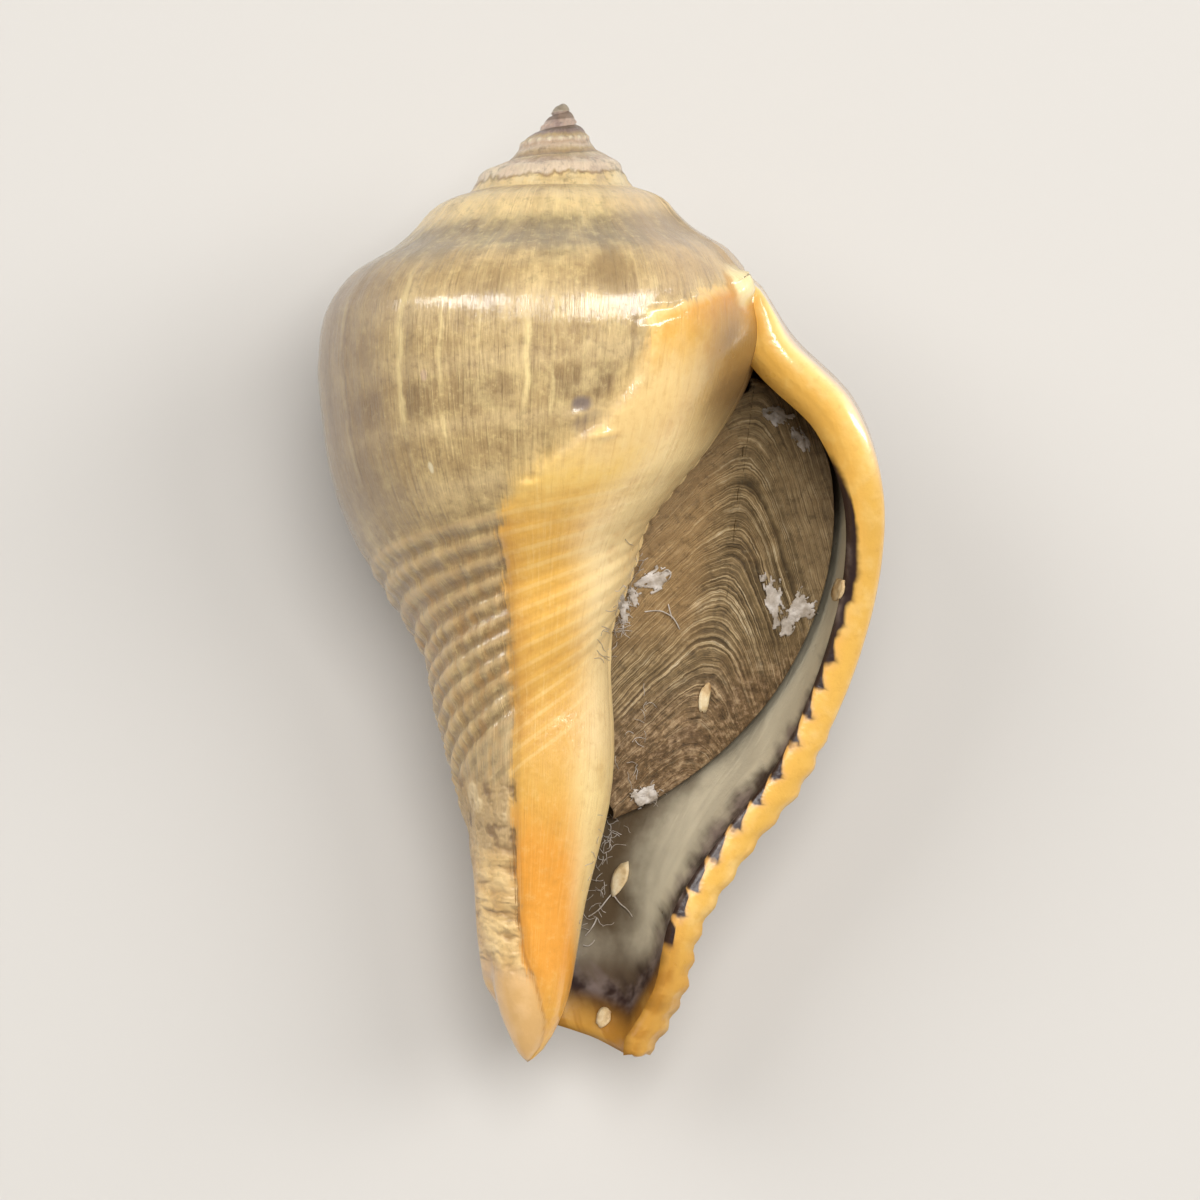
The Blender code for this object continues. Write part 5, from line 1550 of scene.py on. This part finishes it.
def grow_shell(wanted):
    """The whole shell as one closed skin, with its growth kept on the corners of its faces."""
    growth = Growth(COLUMNS)
    surface = ShellSurface(growth, RAMP_ROWS, EDGE_ROWS, UPPER_ROWS, ROWS_PER_CORD * ROW_CORDS, END_ROWS,
                           TIP_ROWS)
    piece, keys = grown_mesh("pear_shell", surface)
    points = np.array([surface.points[k] for k in keys])
    angle, depth, zone = np.array([surface.facts(*k) for k in keys]).T
    radius = np.hypot(points[:, 0], points[:, 2])
    within = callus_within(angle, depth, zone, radius)
    relief = shell_relief(angle, depth, zone, radius, rim_distance(surface, points), within)
    raise_vertices(piece, wanted.relief * relief)
    form = relief + cord_relief(angle, depth) * smoothstep(0.5 - within)
    form = dict(zip(keys, np.where(zone == 0, form, 0.0)))
    corners = [corner for face in surface.corners for corner in face]
    number = {}
    for corner in corners:
        number.setdefault(corner, len(number))
    order = np.array([number[corner] for corner in corners])
    angle, depth, zone = np.array([surface.facts(*corner) for corner in number]).T
    points = np.array([surface.points[surface.key(*corner)] for corner in number])
    radius = np.hypot(points[:, 0], points[:, 2])
    rim = rim_distance(surface, points)
    across = np.where(zone > 2, (zone - 3.5) * math.pi * rim, rim + EDGE_ARC)
    rim = np.where(zone == 0, -across, across)
    rim = np.where((zone == 0) & (angle < OLD_SIDE), -FAR, rim)
    rim = np.where(zone == 1, FAR, rim)
    place = np.stack([angle, depth / base_size(angle), depth], 1)
    corner_values(piece, "growth", place[order], "FLOAT_VECTOR")
    form = np.array([form[surface.key(*corner)] for corner in number])
    within = callus_within(angle, depth, zone, radius)
    for name, values in (("callus", within), ("rim", rim), ("zone", zone), ("form", form)):
        corner_values(piece, name, values[order])
    lay_down(piece)
    piece.data.materials.append(shell_material(wanted))
    return piece, growth


def plate_lines(x, depth):
    """Depth, on the crest, of the growth line through each point of the plate."""
    off = x - (CREST[0] + CREST[2] * (depth - CREST[1]))
    steep = np.where(off < 0.0, *LINE_SLOPES)
    return depth - steep * (np.sqrt(off ** 2 + CREST_ROUND ** 2) - CREST_ROUND)


def grow_operculum(growth, wanted):
    """The horny plate, with its growth lines kept on the corners of its faces."""
    surface = PlateSurface(growth, PLATE_POINTS, PLATE_RINGS)
    piece, keys = grown_mesh("horny_operculum", surface)
    points = np.array([surface.points[k] for k in keys])
    x, depth = points[:, 0], -points[:, 1]
    top = np.array([k[0] == "top" for k in keys])
    line = plate_lines(x, depth)
    relief = noise(line / 0.36, x / 3.0, 31) + 0.8 * noise(line / 0.9, x / 5.0, 32)
    relief += 0.7 * noise(x / 0.6, depth / 0.6, 33)
    share = np.array([k[1] / PLATE_RINGS for k in keys])
    raise_vertices(piece, wanted.relief * MILLIMETRES * relief * top * smoothstep((1.0 - share) / 0.06))
    loops = np.empty(len(piece.data.loops), np.int32)
    piece.data.loops.foreach_get("vertex_index", loops)
    crest = CREST[0] + CREST[2] * (depth - CREST[1])
    # Where the upper left flank is painted lighter, as light falls on it.
    lit_flank = smoothstep((crest - x) / 3.0) * smoothstep((42.0 - depth) / 6.0)
    lower = smoothstep((depth - 39.5 - 0.45 * (crest - x)) / 6.0)
    for name, values in (("growth_line", line), ("lit_flank", lit_flank), ("lower", lower)):
        corner_values(piece, name, values[loops])
    lay_down(piece)
    piece.data.materials.append(plate_material(wanted))
    return piece


class Ground:
    """The shell and its plate, as rays from the front find them."""

    def __init__(self, *pieces):
        self.trees = [BVHTree.FromPolygons([v.co for v in piece.data.vertices],
                                           [f.vertices for f in piece.data.polygons]) for piece in pieces]
        self.lay = laid_down()
        self.front = Vector(CAMERA_PLACE)

    def under(self, x, depth, lift):
        """Point that the camera sees at x and depth, lifted off the skin by so many millimetres."""
        start = self.lay @ self.front
        way = (self.lay @ Vector((x, -depth, 0.0)) - start).normalized()
        hits = [hit for hit in (tree.ray_cast(start, way) for tree in self.trees) if hit[0]]
        if not hits:
            raise RuntimeError("there is nothing under the dirt at %.1f, %.1f" % (x, depth))
        place = min(hits, key=lambda hit: hit[3])[0]
        return place - way * lift * MM


def finished(piece, material, thickness=0.0):
    """Give a thin sheet its thickness and a piece its material."""
    bpy.context.view_layer.objects.active = piece
    if thickness:
        solid = piece.modifiers.new("thickness", "SOLIDIFY")
        solid.thickness = thickness
        solid.offset = 0.0
        bpy.ops.object.modifier_apply(modifier=solid.name)
    piece.data.materials.clear()
    piece.data.materials.append(material)
    piece.data.shade_smooth()


def only(*pieces):
    """Select these pieces and nothing else, the first of them active."""
    bpy.ops.object.select_all(action="DESELECT")
    for piece in pieces:
        piece.select_set(True)
    if pieces:
        bpy.context.view_layer.objects.active = pieces[0]


def joined(pieces, name):
    only(*pieces)
    bpy.ops.object.join()
    whole = bpy.context.object
    whole.name = whole.data.name = name
    return whole


def scale_sheet(ground, x, depth, width, height, turn, seed):
    """A ragged scale: a fine grid, torn by noise and laid on what is under it."""
    only()
    bpy.ops.mesh.primitive_grid_add(x_subdivisions=SCALE_GRID, y_subdivisions=SCALE_GRID, size=2.0)
    piece = bpy.context.object
    bm = bmesh.new()
    bm.from_mesh(piece.data)
    torn = []
    for face in bm.faces:
        across, up = face.calc_center_median().to_2d()
        reach = math.hypot(across, up) + 0.42 * float(noise(across * 2.2, up * 2.2, seed))
        reach += 0.30 * float(noise(across * 6.0, up * 6.0, seed + 20))
        if reach > 0.78:
            torn.append(face)
    bmesh.ops.delete(bm, geom=torn, context="FACES")
    cos, sin = math.cos(math.radians(turn)), math.sin(math.radians(turn))
    for v in bm.verts:
        across, up = v.co.x * width / 2, v.co.y * height / 2
        lift = 0.10 + 0.10 * float(noise(across * 2.0, up * 2.0, seed + 40))
        lift += 0.06 * float(noise(across * 6.0, up * 6.0, seed))
        v.co = ground.under(x + across * cos - up * sin, depth - across * sin - up * cos, lift)
    bm.to_mesh(piece.data)
    bm.free()
    return piece


def chip(ground, x, depth, half_width, half_height, turn):
    """A lens-shaped chip that lies on what is under it."""
    only()
    bpy.ops.mesh.primitive_circle_add(vertices=20, radius=1.0, fill_type="NGON")
    piece = bpy.context.object
    bpy.ops.object.mode_set(mode="EDIT")
    bpy.ops.mesh.select_all(action="SELECT")
    bpy.ops.mesh.inset(thickness=0.35)
    bpy.ops.mesh.poke()
    bpy.ops.object.mode_set(mode="OBJECT")
    cos, sin = math.cos(math.radians(turn)), math.sin(math.radians(turn))
    for v in piece.data.vertices:
        far = v.co.to_2d().length
        ragged = 1.0 + 0.18 * float(noise(v.co.x * 2.0 + x, v.co.y * 2.0, 81))
        across, up = v.co.x * half_width * ragged, v.co.y * half_height * ragged
        lift = 0.14 + 0.10 * (1.0 - far)
        v.co = ground.under(x + across * cos - up * sin, depth - across * sin - up * cos, lift)
    return piece


def thread(ground, points, radius, lift, name):
    """A thin thread through points, which touches what is under its ends."""
    data = bpy.data.curves.new(name, "CURVE")
    data.dimensions = "3D"
    data.bevel_depth = radius * MM
    data.bevel_resolution = 1
    data.resolution_u = 4
    data.use_fill_caps = True
    line = data.splines.new("NURBS")
    line.points.add(len(points) - 1)
    line.use_endpoint_u = True
    line.order_u = 3
    last = len(points) - 1
    for i, (x, depth) in enumerate(points):
        line.points[i].co = (*ground.under(x, depth, radius + lift * math.sin(math.pi * i / last)), 1.0)
    piece = bpy.data.objects.new(name, data)
    bpy.context.scene.collection.objects.link(piece)
    only(piece)
    bpy.ops.object.convert(target="MESH")
    return bpy.context.object


def hairs(ground, line, count, random):
    """Short curled hairs along a line."""
    made = []
    places = np.linspace(0.0, 1.0, count)
    xs = np.interp(places, (0.0, 0.5, 1.0), [p[0] for p in line])
    depths = np.interp(places, (0.0, 0.5, 1.0), [p[1] for p in line])
    for x, depth in zip(xs, depths):
        x, depth = x + random.gauss(0.0, 0.35), depth + random.gauss(0.0, 0.35)
        turn = random.uniform(0.0, 2 * math.pi)
        points = [(x, depth)]
        for _ in range(4):
            turn += random.uniform(-0.9, 0.9)
            step = HAIR_LENGTH / 4 * random.uniform(0.5, 1.5)
            points.append((points[-1][0] + step * math.cos(turn), points[-1][1] + step * math.sin(turn)))
        made.append(thread(ground, points, HAIR_RADIUS, random.uniform(0.05, 0.3), "hair"))
    return made


def add_dirt(ground, wanted):
    """Scales, chips and threads that stick to the plate, the chamber and the canal."""
    random = Random(DIRT_SEED)
    scales = joined([scale_sheet(ground, *row) for row in SCALES], "dry_scales")
    chips = joined([chip(ground, *row) for row in CHIPS], "loose_chips")
    threads = [thread(ground, points, THREAD_RADIUS, 0.25, "thread") for points in THREADS]
    for *line, count in FUZZ:
        threads += hairs(ground, line, count, random)
    threads = joined(threads, "dry_threads")
    white = flake_material(wanted)
    finished(scales, white, wanted.thickness)
    finished(chips, chip_material(), CHIP_THICK * MM)
    finished(threads, white)
    return scales, chips, threads


def add_camera():
    """A camera at the photograph's place, which sees the photograph's frame."""
    place = Vector(CAMERA_PLACE)
    up = Vector((CAMERA_UP_X, math.sqrt(1 - CAMERA_UP_X ** 2), 0.0))
    right = up.cross(Vector((0, 0, 1)))
    turn = Matrix((right, up, Vector((0, 0, 1)))).transposed().to_4x4()
    data = bpy.data.cameras.new("camera")
    camera = bpy.data.objects.new("camera", data)
    data.sensor_width = SENSOR
    data.lens = SENSOR * CAMERA_PLACE[2] / FRAME_WIDTH
    data.clip_start = 0.01
    bpy.context.scene.collection.objects.link(camera)
    camera.matrix_world = (Matrix.Translation(laid_down() @ place)
                           @ Matrix.Rotation(math.radians(REST_TIP), 4, "X") @ turn)
    bpy.context.scene.camera = camera


def add_lights(wanted):
    """Two tall windows that only gloss shows, soft lights that it doesn't show, and a pale room."""
    world = bpy.data.worlds.new("soft_room")
    bpy.context.scene.world = world
    world.use_nodes = True
    world.node_tree.nodes["Background"].inputs["Color"].default_value = (1.0, 0.95, 0.88, 1.0)
    world.node_tree.nodes["Background"].inputs["Strength"].default_value = ROOM_LIGHT * wanted.brightness
    for name, way, size, distance, power, diffuse, gloss in LIGHTS:
        data = bpy.data.lights.new(name, "AREA")
        data.shape = "RECTANGLE"
        data.size, data.size_y = size
        data.energy = power * wanted.brightness
        lamp = bpy.data.objects.new(name, data)
        bpy.context.scene.collection.objects.link(lamp)
        way = Vector(way).normalized()
        lamp.location = way * distance
        lamp.rotation_euler = way.to_track_quat("Z", "Y").to_euler()
        lamp.visible_diffuse = diffuse
        lamp.visible_glossy = gloss
    bpy.context.scene.view_settings.view_transform = "Standard"


def tint_of(what):
    """A colour that multiplies the colours of something."""
    return FloatVectorProperty(name="Tint", description="Colour that multiplies " + what,
                               default=(1.0, 1.0, 1.0), size=3, min=0.0, max=1.0, subtype="COLOR")


class VolemaShell(bpy.types.PropertyGroup):
    """What a user may change on the shell."""

    relief: FloatProperty(name="Relief", description="How strongly the fine folds, drops and scars stand out",
                          default=1.0, min=0.0, max=2.0, subtype="FACTOR")
    gloss: FloatProperty(name="Gloss", description="How strongly the glaze mirrors the windows",
                         default=0.9, min=0.0, max=1.0, subtype="FACTOR")
    tint: tint_of("the shell's own colours")


class VolemaPlate(bpy.types.PropertyGroup):
    """What a user may change on the operculum."""

    relief: FloatProperty(name="Relief", description="Height of the growth lines", default=0.00005,
                          min=0.0, max=0.0003, precision=6, unit="LENGTH")
    tint: tint_of("the plate's own colours")


class VolemaDirt(bpy.types.PropertyGroup):
    """What a user may change on the dirt."""

    thickness: FloatProperty(name="Thickness", description="Thickness of the white scales",
                             default=SCALE_THICK * MM, min=0.00002, max=0.0005, precision=6, unit="LENGTH")
    tint: tint_of("the white scales")


class VolemaStage(bpy.types.PropertyGroup):
    """What a user may change around the shell."""

    floor_size: FloatProperty(name="Floor", description="Side of the floor", default=4.0, min=0.5,
                              unit="LENGTH")
    floor_colour: FloatVectorProperty(name="Floor colour", description="Colour of the floor",
                                      default=(0.60, 0.575, 0.54), size=3, min=0.0, max=1.0, subtype="COLOR")
    brightness: FloatProperty(name="Brightness", description="Strength of all lights together",
                              default=1.0, min=0.0, max=5.0, subtype="FACTOR")


def hand_over(piece):
    """Tie a finished piece to the frame."""
    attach(piece, "root")


class VOLEMA_OT_shell(bpy.types.Operator):
    """Grow the shell around its coiling axis, and its horny plate inside the opening"""

    bl_idname = "volema.shell"
    bl_label = "Grow the shell and its plate"

    def execute(self, context):
        only()
        shell, growth = grow_shell(context.scene.volema_shell)
        plate = grow_operculum(growth, context.scene.volema_plate)
        for piece, node in ((shell, "shell"), (plate, "operculum")):
            hand_over(piece)
            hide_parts(node)
        return {"FINISHED"}


class VOLEMA_OT_dirt(bpy.types.Operator):
    """Stick dry scales, chips and threads to the plate and the canal"""

    bl_idname = "volema.dirt"
    bl_label = "Add the dirt"

    def execute(self, context):
        ground = Ground(bpy.data.objects["pear_shell"], bpy.data.objects["horny_operculum"])
        for piece in add_dirt(ground, context.scene.volema_dirt):
            hand_over(piece)
        return {"FINISHED"}


class VOLEMA_OT_stage(bpy.types.Operator):
    """Lay a pale floor, and set up the soft lights and the camera"""

    bl_idname = "volema.stage"
    bl_label = "Set the stage"

    def execute(self, context):
        wanted = context.scene.volema_stage
        only()
        bpy.ops.mesh.primitive_plane_add(size=wanted.floor_size)
        floor = context.object
        floor.name = "floor"
        floor.data.materials.append(floor_material(wanted))
        add_camera()
        add_lights(wanted)
        return {"FINISHED"}


STEPS = ("volema.shell", "volema.dirt", "volema.stage")
GROUPS = {"volema_shell": VolemaShell, "volema_plate": VolemaPlate, "volema_dirt": VolemaDirt,
          "volema_stage": VolemaStage}


class VOLEMA_PT_panel(bpy.types.Panel):
    """Buttons that grow the shell, with what may be changed on it"""

    bl_label = "Shell"
    bl_idname = "VOLEMA_PT_panel"
    bl_space_type = "VIEW_3D"
    bl_region_type = "UI"
    bl_category = "Shell"

    def draw(self, context):
        for step in STEPS:
            self.layout.operator(step)
        for group, kind in GROUPS.items():
            box = self.layout.box()
            box.label(text=kind.__name__)
            for name in kind.__annotations__:
                box.prop(getattr(context.scene, group), name)


CLASSES = (*GROUPS.values(), VOLEMA_OT_shell, VOLEMA_OT_dirt, VOLEMA_OT_stage, VOLEMA_PT_panel)


def register():
    for one in CLASSES:
        bpy.utils.register_class(one)
    for name, kind in GROUPS.items():
        setattr(bpy.types.Scene, name, PointerProperty(type=kind))


def unregister():
    for name in GROUPS:
        delattr(bpy.types.Scene, name)
    for one in reversed(CLASSES):
        bpy.utils.unregister_class(one)


def main():
    register()
    bpy.ops.volema.shell()
    bpy.ops.volema.dirt()
    bpy.ops.volema.stage()


if __name__ == "__main__":
    main()
